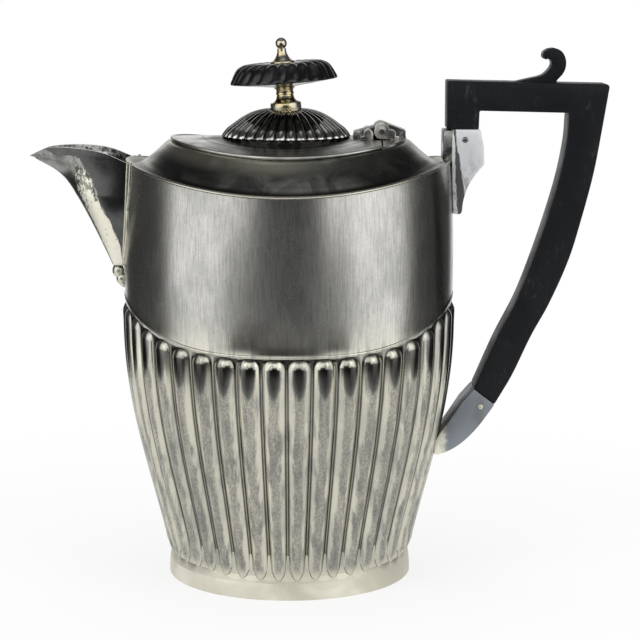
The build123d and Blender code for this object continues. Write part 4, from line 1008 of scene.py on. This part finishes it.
class PotFinial(bpy.types.Operator):
    """Build the turned stem, the black fluted disc, and the brass cap with its ball"""

    bl_idname = "coffee_pot.finial"
    bl_label = "Finial"

    def execute(self, context):
        lid = settings().lid
        place = finial_place(lid)
        self.stem(place)
        self.disc(lid, place)
        self.cap(lid, place)
        for name in ("finial_stud", "finial_washer", "finial_nut"):
            dress_node(name, warm_brass())
        return {"FINISHED"}

    def stem(self, place):
        """The collar, the neck with its band, and the flare under the disc."""
        collar = in_mm([(5.7, -0.9), (5.95, -0.5), (5.95, 1.5), (5.75, 2.0), (4.5, 2.5)])
        neck = curve_through(in_mm([(4.5, 2.5), (3.7, 3.3), (3.3, 4.4), (3.2, 5.0)]), 5)
        band = in_mm([(3.45, 5.2), (3.45, 5.9)])
        flare = curve_through(in_mm([(3.2, 6.1), (3.4, 6.8), (4.1, 7.6), (4.8, 8.2)]), 5)
        profile = [(1.2 * MM, -0.9 * MM), *collar, *neck[1:], *band, *flare, (1.2 * MM, 8.2 * MM)]
        bm = spun(profile, 64, closed=True)
        bmesh.ops.transform(bm, matrix=place, verts=bm.verts)
        make_piece("turned_stem", bm, warm_brass(), "lid", ["finial_stem"])

    def disc(self, lid, place):
        """The disc, flat below, with flutes that turn as they rise over its side."""
        wide = lid.disc_radius
        under = spread_line((4.8 * MM, 8.0 * MM), (wide - 1.0 * MM, 9.9 * MM), 6)
        side = curve_through(from_place(wide, 0.0, [
            (-0.4, 10.0), (0.0, 10.3), (-0.6, 11.6), (-1.8, 13.8), (-3.1, 15.4), (-5.1, 16.4)]), 4)
        over = curve_through([side[-1], *in_mm([(12.0, 16.8), (8.0, 17.0), (4.6, 17.1)])], 4)
        line = [*under, *side[:-1], *over]
        rings = [RaisedRing(1.25 * MM, 8.0 * MM, 0, 1.0, 0.0, 0.0, 0.0)]
        for (r, z), slope in zip(line, slope_along(line)):
            out = smooth_step((r - 5.0 * MM) / (10.0 * MM)) * smooth_step((z - 9.9 * MM) / (1.2 * MM))
            up = (z - 9.0 * MM) / (9.0 * MM)
            rings.append(RaisedRing(
                r - 0.5 * MM * out, z, slope, 1.0, lid.flute_rise * out, math.radians(9) * up, 0.9 * out))
        rings.append(RaisedRing(1.25 * MM, 17.1 * MM, 0, 1.0, 0.0, 0.0, 0.0))
        bm = raised_rounds(rings, lid.flutes, 12, 0.92)
        bmesh.ops.transform(bm, matrix=place, verts=bm.verts)
        make_piece("fluted_disc", bm, black_gloss(), "lid", ["finial_disc"])

    def cap(self, lid, place):
        """The cone on the disc and the ball that it carries."""
        top = 22.5
        cone = curve_through(in_mm([
            (4.75, 17.2), (4.6, 17.6), (3.7, 18.1), (2.9, 18.8), (2.2, 19.9), (1.75, 21.3),
            (1.7, top)]), 4)
        centre = 24.4 * MM
        low = math.acos((centre - top * MM) / lid.ball_radius)
        ball = [(lid.ball_radius * math.sin(a), centre - lid.ball_radius * math.cos(a))
                for a in spread(low, math.pi, 16)]
        bm = spun([(0.0, 17.0 * MM), (4.7 * MM, 17.0 * MM), *cone, *ball], 48)
        bmesh.ops.transform(bm, matrix=place, verts=bm.verts)
        make_piece("cap_and_ball", bm, warm_brass(), "lid", ["finial_cap"])


# The hinge: radius of its knuckles and of the hollow in which they turn, radius of the ridge beside them
# and how far its middle lies below the pin, half the width of the leaves and of the wedges beside the
# knuckles, and the rounding on their edges
KNUCKLE = 2.95 * MM
SWING = 3.2 * MM
RIDGE = 1.9 * MM
RIDGE_DROP = 1.0 * MM
LEAF_HALF = 11.0 * MM
WEDGE_HALF = 5.5 * MM
EASED = 0.3 * MM


class PotHinge(bpy.types.Operator):
    """Build both leaves of the hinge with their ridges and knuckles"""

    bl_idname = "coffee_pot.hinge"
    bl_label = "Hinge"

    def execute(self, context):
        lid = settings().lid
        pin = (HINGE_BOX[0] + HINGE_BOX[1]) / 2
        low = lid.lid_height - 0.35 * MM
        self.fixed_leaf((pin.x, pin.z), low)
        self.lid_leaf((pin.x, pin.z), low)
        dress_node("hinge_pin", aged_plate("lid_plate"))
        return {"FINISHED"}

    def fixed_leaf(self, pin, low):
        """The outer knuckles, joined to a ridge and a leaf on the bed."""
        x, z = pin
        ridge = (x + 3.4 * MM, z - RIDGE_DROP)
        gap = 3.9 * MM
        base = from_place(x, low, [(3.25, 0.0), (6.45, 0.0), (6.45, 1.4)])
        outline = [*base, *arc(ridge, RIDGE, -20, 107), *arc(pin, KNUCKLE, 16, 290, 20)[1:]]
        ridge_only = [*base, *arc(ridge, RIDGE, -20, 100), *arc(pin, SWING, 14, -40)]
        wedge = [*from_place(x, low, [(3.25, 0.0), (9.2, 0.0), (9.2, 2.9)]), *arc(pin, SWING, 62, -40, 12)]
        bm = joined([
            sawn_slab(outline, -LEAF_HALF, -gap, EASED, 2),
            sawn_slab(outline, gap, LEAF_HALF, EASED, 2),
            sawn_slab(ridge_only, -gap - 0.1 * MM, gap + 0.1 * MM, 0.2 * MM, 1),
            sawn_slab(wedge, -WEDGE_HALF, WEDGE_HALF, EASED, 2)])
        # Painted highlights, with rubbed plate, on the outer edges
        paint(bm, "rubbed", self.outer_edge)
        make_piece("fixed_leaf", bm, aged_plate("dark_plate"), "pot", ["hinge_body_leaf"])

    def lid_leaf(self, pin, low):
        """The middle knuckle, joined to a ridge and a leaf on the lid."""
        x, z = pin
        ridge = (x - 5.1 * MM, z - RIDGE_DROP)
        middle = 3.7 * MM
        base = from_place(x, low, [(-8.1, 1.3), (-8.1, 0.0), (-3.3, 0.0)])
        outline = [*arc(pin, KNUCKLE, -60, 190, 20), *arc(ridge, RIDGE, 14, 200), *base]
        ridge_only = [*arc(ridge, RIDGE - 0.05 * MM, -20, 200, 14), *base]
        wedge = [(x - 3.3 * MM, low), *arc(pin, SWING, 215, 152, 10),
                 *from_place(x, low, [(-10.4, 2.4), (-10.9, 0.0)])]
        bm = joined([
            sawn_slab(wedge, -WEDGE_HALF, WEDGE_HALF, EASED, 2),
            sawn_slab(outline, -middle, middle, EASED, 2),
            sawn_slab(ridge_only, -LEAF_HALF, -middle + 0.1 * MM, EASED, 2),
            sawn_slab(ridge_only, middle - 0.1 * MM, LEAF_HALF, EASED, 2)])
        # Painted highlights, with rubbed plate, on the outer edges
        paint(bm, "rubbed", self.outer_edge)
        make_piece("lid_leaf", bm, aged_plate("dark_plate"), "lid", ["hinge_lid_leaf"])

    def outer_edge(self, place):
        """1 on the rounded edges of the two outer faces, where the plate is rubbed bright and a highlight
        is painted.
        """
        within = LEAF_HALF - abs(place.y)
        return 1.0 if 0.01 * MM < within < EASED + 0.1 * MM else 0.0


# Spout

class SpoutShape:
    """The spout's level sections, pointed at the beak and rounded below."""

    def __init__(self, sizes, wall):
        self.low, self.tip_x, self.tip_z = sizes.low, sizes.tip_x, sizes.tip_z
        self.half, self.root_half, self.beak_low = sizes.half, sizes.root_half, sizes.beak_low
        self.sheet, self.wall = sizes.wall, wall
        self.rim = [tuple(p) for p in curve_through(in_mm([
            (-99.5, 164.2), (-92.9, 167.2), (-88.7, 167.85), (-81.4, 167.85),
            (-74.0, 167.1), (-68.6, 165.9), (-61.0, 162.7), (-50.0, 158.0)]), 8)]

    def keel_x(self, z):
        """The keel's line, from the root under the spout up to the beak's tip."""
        low = min(1.0, (z - self.low) / (self.tip_z - self.low))
        near = (1 - low) / 0.04
        return (self.tip_x + (31.2 * MM - 4.0 * MM * low) * (1 - low) ** 0.45
                - 3.0 * MM * near * math.exp(1 - near))

    def half_width(self, z):
        """Half width of the spout where it meets the body."""
        s = min(1.0, (z - self.low) / (self.beak_low - self.low))
        return self.root_half + (self.half - self.root_half) * math.sin(math.pi / 2 * s) ** 0.8

    def beak_share(self, z):
        """0 where the keel is round, 1 at the beak."""
        return max(0.0, min(1.0, (z - self.beak_low) / (self.tip_z - self.beak_low)))

    def rim_z(self, x):
        """Height of the rim at a place along the spout."""
        for (x0, z0), (x1, z1) in zip(self.rim, self.rim[1:]):
            if x <= x1:
                return z0 + (z1 - z0) * max(0.0, (x - x0) / (x1 - x0))
        return self.rim[-1][1]

    def section(self, z, s, inside):
        """A point of a level section: s is 0 at the body and 1 at the keel."""
        beak = self.beak_share(z)
        half = self.half_width(z)
        root = -self.wall.side_x(half, z, -0.5 * MM)
        keel = self.keel_x(z)
        if inside:
            keel += 1.5 * self.sheet + 5.0 * MM * beak
            half -= self.sheet
        blunt = (1 - beak) * 0.85 * half + beak * 0.12 * half
        side = root + (keel - root) * (0.45 + 0.10 * beak)
        front = keel + (side - keel) * (0.35 * beak)
        knots = ((root, half), (side, 1.02 * half), (front, blunt), (keel, 0.0))
        weights = ((1 - s) ** 3, 3 * s * (1 - s) ** 2, 3 * s ** 2 * (1 - s), s ** 3)
        return [sum(w * k[axis] for w, k in zip(weights, knots)) for axis in (0, 1)]

    def place(self, s, up, inside):
        """A point of the surface: up is 0 at the root and 1 at the rim."""
        z = self.low + (self.tip_z - self.low) * up
        for _ in range(6):
            x, y = self.section(min(z, self.tip_z), s, inside)
            z = self.low + (self.rim_z(x) - self.low) * up
        x, y = self.section(min(z, self.tip_z), s, inside)
        return x, y, z


class PotSpout(bpy.types.Operator):
    """Build the cast spout, its seams and the small leaf under it"""

    bl_idname = "coffee_pot.spout"
    bl_label = "Spout"

    def execute(self, context):
        wall = pot_wall()
        shape = SpoutShape(settings().spout, wall)
        outer_rows, rim_rows = 72, 2
        rows = 2 * outer_rows + rim_rows
        hollow_low = 126.0 * MM
        deepest = (hollow_low - shape.low) / (shape.tip_z - shape.low)

        def place(u, v):
            row = round(v * rows)
            s = 1 - abs(2 * u - 1)
            inside = row > outer_rows
            up = row / outer_rows if not inside else 1 - max(0, row - outer_rows - rim_rows) / outer_rows
            if inside:
                up = deepest + (1 - deepest) * up
            x, y, z = shape.place(s, up, inside)
            return Vector((x, y if u < 0.5 else -y, z))

        bm = mapped_sheet(56, rows, place)
        # worn marks the creamy strip, a painted reflection of the pale floor; side marks the dark beyond it
        paint(bm, "worn", lambda p: self.zones(p, shape, wall)[0])
        paint(bm, "side", lambda p: self.zones(p, shape, wall)[1])
        paint(bm, "inner", lambda p: self.inside_share(p, shape))
        make_piece("cast_spout", bm, spout_plate(), "pot", ["spout"], sharp=50)

        for name, lift, reach in (("near", 0.2 * MM, 0.0), ("far", 0.1 * MM, 4.2 * MM)):
            self.seam(name, wall, shape, lift, reach)
        self.leaf()
        return {"FINISHED"}

    def inside_share(self, place, shape):
        """1 on the inner face and 0 on the outer one."""
        z = min(place.z, shape.tip_z)
        root = shape.section(z, 0.0, False)[0]
        keel = shape.keel_x(z)
        share = (place.x - keel) / (root - keel)
        level = [shape.section(z, s, False) for s in spread(0.0, 1.0, 40)]
        outer = min(level, key=lambda p: abs(p[0] - place.x))
        return 1.0 if share > 0.02 and abs(place.y) < outer[1] - 0.5 * shape.sheet else 0.0

    def zones(self, place, shape, wall):
        """How far a point lies inside the creamy strip, a painted reflection of the pale floor on the worn
        plate, and past it on the dark side.

        Both are 0.5 at an edge of the strip. The dark side also runs in a band under the rim.
        """
        z = min(place.z, shape.tip_z)
        keel = shape.keel_x(z)
        along = (place.x - keel) / (-wall.side_x(0.0, z) - keel)
        # The strip lies between two shares of the way from the keel to the wall
        start = 0.14 + 0.19 * smooth_step((z - 151.0 * MM) / (9.0 * MM))
        end = 0.50 + 0.42 * max(0.0, min(1.0, (148.0 * MM - z) / (18.0 * MM))) ** 1.3
        blur = 0.16
        strip = 0.5 + min(along - start, end - along) / blur
        strip *= 1 - smooth_step((z - 158.0 * MM) / (6.0 * MM))
        band = 3.0 * MM * smooth_step((place.x - shape.tip_x - 6.0 * MM) / (5.0 * MM))
        under_rim = 0.5 + (band - (shape.rim_z(place.x) - place.z)) / (1.6 * MM)
        return strip, max(0.5 + (along - end) / blur, under_rim)

    def seam(self, name, wall, shape, lift, reach):
        """A thin bead on each side where the spout is soldered to the body."""
        radius = 0.55 * MM
        bottom, top = shape.low + 1.0 * MM, 163.0 * MM
        for side, word in ((-1, "front"), (1, "back")):
            def place(u, v, side=side):
                z = bottom + (top - bottom) * v
                wave = reach * (0.3 + 0.7 * abs(math.sin(min(math.pi * v / 0.56, 1.5 * math.pi))))
                y = shape.half_width(z) + wave
                x = -wall.side_x(y, z, lift)
                turn = FULL_TURN * u
                return Vector((x + radius * math.cos(turn), side * (y + radius * math.sin(turn)), z))

            bm = mapped_sheet(12, 60, place)
            make_piece(f"spout_seam_{name}_{word}", bm, aged_plate("bright_plate"), "pot")

    def leaf(self):
        """Three cast lobes that run into each other and taper down the wall under the spout."""
        bm = bmesh.new()
        lobes = (((-66.2, 0, 119.7), (2.3, 2.6, 2.9)), ((-65.0, 0, 116.6), (2.0, 2.1, 2.6)),
                 ((-64.2, 0, 114.8), (1.4, 1.5, 1.8)))
        for place, size in lobes:
            matrix = Matrix.LocRotScale(Vector(place) * MM, None, Vector(size) * MM)
            bmesh.ops.create_uvsphere(bm, u_segments=24, v_segments=16, radius=1.0, matrix=matrix)
        make_piece("cast_leaf", bm, aged_plate("bright_plate"), "pot", ["spout_drop"])


# Handle

class PotHandle(bpy.types.Operator):
    """Build the wooden handle and its thumb scroll"""

    bl_idname = "coffee_pot.handle"
    bl_label = "Handle"

    def execute(self, context):
        handle = settings().handle
        outer = curve_through(in_mm([
            (121.7, 190.9), (119.2, 174.7), (116.4, 158.1), (112.1, 140.4), (107.6, 124.8),
            (100.4, 107.7), (93.7, 95.1), (86.6, 79.6), (80.0, 68.0)]), 5)
        inner = curve_through(in_mm([
            (71.9, 74.2), (80.2, 93.5), (88.0, 109.2), (93.9, 124.8), (98.9, 140.2),
            (103.2, 155.6), (105.9, 170.0), (106.6, 181.0)]), 5)
        outline = [*in_mm([(60.3, 174.8), (60.3, 193.1), (121.0, 191.8)]), *outer, *inner,
                   *in_mm([(72.6, 181.8), (72.4, 174.8)])]
        bm = sawn_slab(outline, -handle.half, handle.half, handle.rounding)
        make_piece("wooden_handle", bm, black_wood(), "pot", ["handle_grip"], sharp=60)

        back = curve_through(in_mm([
            (84.0, 192.2), (90.5, 193.7), (95.6, 195.0), (98.1, 197.0), (99.3, 199.4), (98.3, 201.2),
            (96.9, 201.0), (95.9, 202.0), (96.3, 203.8), (98.0, 205.0)]), 5)
        front = curve_through(in_mm([
            (98.0, 205.0), (100.6, 205.2), (103.2, 203.8), (104.6, 201.0), (104.6, 198.0), (103.6, 195.6),
            (101.5, 193.2), (101.0, 192.0)]), 5)
        bm = sawn_slab([*back[:-1], *front], -handle.scroll_half, handle.scroll_half, 0.9 * MM)
        bmesh.ops.translate(bm, vec=(0.7 * MM, 0, 0), verts=bm.verts)
        make_piece("thumb_scroll", bm, black_wood(), "pot", sharp=60)
        return {"FINISHED"}


class PotSockets(bpy.types.Operator):
    """Build the two metal sockets and their pins"""

    bl_idname = "coffee_pot.sockets"
    bl_label = "Sockets and pins"

    def execute(self, context):
        handle = settings().handle
        half = handle.socket_half
        eased = 0.5 * MM
        upper = [*in_mm([(62.9, 142.6), (65.6, 142.4)]),
                 *curve_through(in_mm([(66.3, 143.2), (66.9, 148.0), (68.7, 153.4), (71.6, 158.0),
                                       (74.6, 161.6)]), 4),
                 *in_mm([(74.3, 168.0), (73.5, 172.0), (72.9, 174.8), (62.4, 174.8), (62.2, 164.0)])]
        bm = sawn_slab(upper, -half, half, eased, 2)
        make_piece("socket_above", bm, white_plate(), "pot", ["upper_socket"])
        flange = in_mm([(62.2, 142.8), (63.4, 142.8), (63.4, 174.4), (59.0, 174.4), (59.0, 162.6),
                        (62.2, 162.8)])
        bm = sawn_slab(flange, -half + 0.8 * MM, half - 0.8 * MM, eased, 2)
        make_piece("socket_flange", bm, aged_plate("dark_plate"), "pot")

        lower = [*in_mm([(71.9, 74.2)]),
                 *curve_through(in_mm([(80.0, 68.0), (77.4, 64.2), (74.9, 60.7), (71.0, 56.1), (67.1, 52.5),
                                       (63.1, 49.9), (58.6, 48.1), (56.4, 48.1)]), 4),
                 *in_mm([(56.8, 53.0)]),
                 *curve_through(in_mm([(58.6, 56.1), (62.5, 61.7), (67.3, 69.0)]), 4)]
        bm = sawn_slab(lower, -half, half, eased, 2)
        make_piece("socket_below", bm, grey_plate(), "pot", ["lower_socket"])

        self.pin("upper", 67.2 * MM, 170.9 * MM, handle, aged_plate("charcoal_plate"))
        self.pin("lower", 74.4 * MM, 67.2 * MM, handle, aged_plate("bright_plate"))
        return {"FINISHED"}

    def pin(self, name, x, z, handle, plate):
        """A pin with a rounded head at each end."""
        half = handle.socket_half
        r = handle.pin_radius
        dome = [(r * math.cos(a), half + 0.5 * MM * math.sin(a)) for a in spread(0.0, math.pi / 2, 6)]
        profile = [*[(p[0], -p[1]) for p in reversed(dome)], *dome]
        bm = spun(profile, 24)
        place = Matrix.Translation((x, 0, z)) @ Matrix.Rotation(math.pi / 2, 4, "X")
        bmesh.ops.transform(bm, matrix=place, verts=bm.verts)
        make_piece(f"{name}_pin", bm, plate, "pot", [f"{name}_handle_pin"])


# Stage

FLOOR_RADIUS = 0.33
# Where the floor begins to turn white, from its middle
FLOOR_PALE = 0.12
# Light from all round on what isn't metal, and the dark of the room between the windows
PLAIN_LIGHT = 0.5
ROOM_DARK = 0.06
# The camera's place, and how far it looks down, as the fall on a length
CAMERA_PLACE = Vector((12.09, -737.30, 230.82)) * MM
CAMERA_FALL = 340.5 / 1920
# Strength, then the turn away from the camera and the rise above the floor at which each light starts,
# is full, is still full and ends, in degrees
ROOM_LIGHTS = (
    (1.30, (34, 46, 74, 90), (-60, -30, 28, 50)),
    (1.30, (18, 26, 34, 46), (-10, 0, 9, 17)),
    (1.25, (-2, -1, 38, 60), (9, 17, 40, 50)),
    (0.35, (-2, -1, 181, 182), (62, 80, 91, 92)),
    (0.94, (148, 160, 181, 182), (-91, -90, 20, 40)))


def seen_directly(graph, glossy=True):
    """1 for what the camera sees, straight, through glass or, where asked, in the metal."""
    path = graph.add("ShaderNodeLightPath")
    seen = graph.math("MAXIMUM", path.outputs["Is Camera Ray"], path.outputs["Is Transmission Ray"])
    return graph.math("MAXIMUM", seen, path.outputs["Is Glossy Ray"]) if glossy else seen


class PotStage(bpy.types.Operator):
    """Set the floor, the soft light and the camera"""

    bl_idname = "coffee_pot.stage"
    bl_label = "Stage"

    def execute(self, context):
        self.floor()
        self.world(context.scene)
        self.lamps()
        self.camera(context.scene)
        context.scene.view_settings.view_transform = "Standard"
        return {"FINISHED"}

    def floor(self):
        """A pale disc that turns white towards its edge, where it meets the white behind it."""
        bm = bmesh.new()
        bmesh.ops.create_circle(bm, cap_ends=True, segments=96, radius=FLOOR_RADIUS)
        mesh = bpy.data.meshes.new("floor")
        bm.to_mesh(mesh)
        bm.free()
        floor = bpy.data.objects.new("floor", mesh)
        bpy.context.scene.collection.objects.link(floor)
        material, graph = new_material("pale_floor")
        squares = [graph.math("MULTIPLY", place, place) for place in (graph.place("X"), graph.place("Y"))]
        away = graph.math("POWER", graph.math("ADD", *squares), 0.5)
        white = graph.ramp(away, FLOOR_PALE, 0.92 * FLOOR_RADIUS, 0.80, 1.0)
        diffuse = graph.add("ShaderNodeBsdfDiffuse")
        diffuse.inputs["Color"].default_value = (*settings().finish.floor, 1.0)
        mix = graph.add("ShaderNodeMixShader")
        graph.link(graph.math("MULTIPLY", white, seen_directly(graph)), mix.inputs["Fac"])
        graph.link(diffuse.outputs["BSDF"], mix.inputs[1])
        graph.link(graph.add("ShaderNodeEmission").outputs["Emission"], mix.inputs[2])
        graph.link(mix.outputs["Shader"], graph.output.inputs["Surface"])
        mesh.materials.append(material)

    def world(self, scene):
        """White for the camera and, for the metal, a dark room with soft windows."""
        world = bpy.data.worlds.new("studio")
        scene.world = world
        world.use_nodes = True
        graph = Graph(world.node_tree, "ShaderNodeOutputWorld")
        split = graph.add("ShaderNodeSeparateXYZ")
        graph.link(graph.add("ShaderNodeTexCoord").outputs["Generated"], split.inputs["Vector"])
        front = graph.math("MULTIPLY", split.outputs["Y"], -1.0)
        turn = graph.math("ABSOLUTE", graph.math("ARCTAN2", split.outputs["X"], front), 0.0)
        rise = graph.math("ARCSINE", split.outputs["Z"], 0.0)
        level = ROOM_DARK
        for strength, across, up in ROOM_LIGHTS:
            across, up = ([math.radians(n) for n in angles] for angles in (across, up))
            patch = graph.math("MULTIPLY", graph.window(turn, *across), graph.window(rise, *up))
            level = graph.math("ADD", graph.math("MULTIPLY", patch, strength), level)
        glossy = graph.add("ShaderNodeLightPath").outputs["Is Glossy Ray"]
        level = graph.mix(glossy, (PLAIN_LIGHT,) * 3, level)
        level = graph.mix(seen_directly(graph, glossy=False), level, (1.0, 1.0, 1.0))
        room = graph.add("ShaderNodeBackground")
        graph.link(level, room.inputs["Color"])
        graph.link(room.outputs["Background"], graph.output.inputs["Surface"])

    def lamps(self):
        """Three soft lamps that shine on the pot's middle and aren't seen in its metal."""
        middle = Vector((0, 0, 0.10))
        for name, place, size, power in (
                ("left_light", (-1.1, -0.9, 0.9), 0.9, 9.0),
                ("right_light", (1.2, -0.8, 0.8), 0.9, 8.0),
                ("top_light", (0.0, 0.2, 1.5), 1.2, 8.0)):
            data = bpy.data.lights.new(name, "AREA")
            data.energy = power
            data.size = size
            lamp = bpy.data.objects.new(name, data)
            lamp.visible_glossy = False
            lamp.location = place
            lamp.rotation_euler = (middle - Vector(place)).to_track_quat("-Z", "Y").to_euler()
            bpy.context.scene.collection.objects.link(lamp)

    def camera(self, scene):
        """A long lens at the height from which the photograph was taken."""
        data = bpy.data.cameras.new("camera")
        data.lens = 108.0
        data.sensor_width = 36.0
        camera = bpy.data.objects.new("camera", data)
        camera.location = CAMERA_PLACE
        camera.rotation_euler = (math.pi / 2 - math.atan(CAMERA_FALL), 0, 0)
        scene.collection.objects.link(camera)
        scene.camera = camera


class PotPanel(bpy.types.Panel):
    """The pot's pieces, each with its button"""

    bl_idname = "VIEW3D_PT_coffee_pot"
    bl_label = "Coffee pot"
    bl_space_type = "VIEW_3D"
    bl_region_type = "UI"
    bl_category = "Coffee pot"

    def draw(self, context):
        for operator in OPERATORS:
            self.layout.operator(operator.bl_idname)
        pot = context.scene.coffee_pot
        for group in (pot.body, pot.lid, pot.spout, pot.handle, pot.finish):
            box = self.layout.box()
            for name in group.__annotations__:
                box.prop(group, name)


GROUPS = (BodySettings, LidSettings, SpoutSettings, HandleSettings, FinishSettings, PotSettings)
OPERATORS = (
    PotBody, PotShoulder, PotLid, PotDome, PotFinial, PotHinge, PotSpout, PotHandle, PotSockets, PotStage)


def register():
    """Registers the classes and hangs the settings on the scene."""
    for cls in (*GROUPS, *OPERATORS, PotPanel):
        bpy.utils.register_class(cls)
    bpy.types.Scene.coffee_pot = PointerProperty(
        type=PotSettings, name="Coffee pot", description="The coffee pot's settings")


def unregister():
    """Takes the settings and the classes away again."""
    del bpy.types.Scene.coffee_pot
    for cls in reversed((*GROUPS, *OPERATORS, PotPanel)):
        bpy.utils.unregister_class(cls)


def main():
    """Builds every piece and the stage."""
    register()
    for operator in OPERATORS:
        group, name = operator.bl_idname.split(".")
        getattr(getattr(bpy.ops, group), name)()


if __name__ == "__main__":
    main()
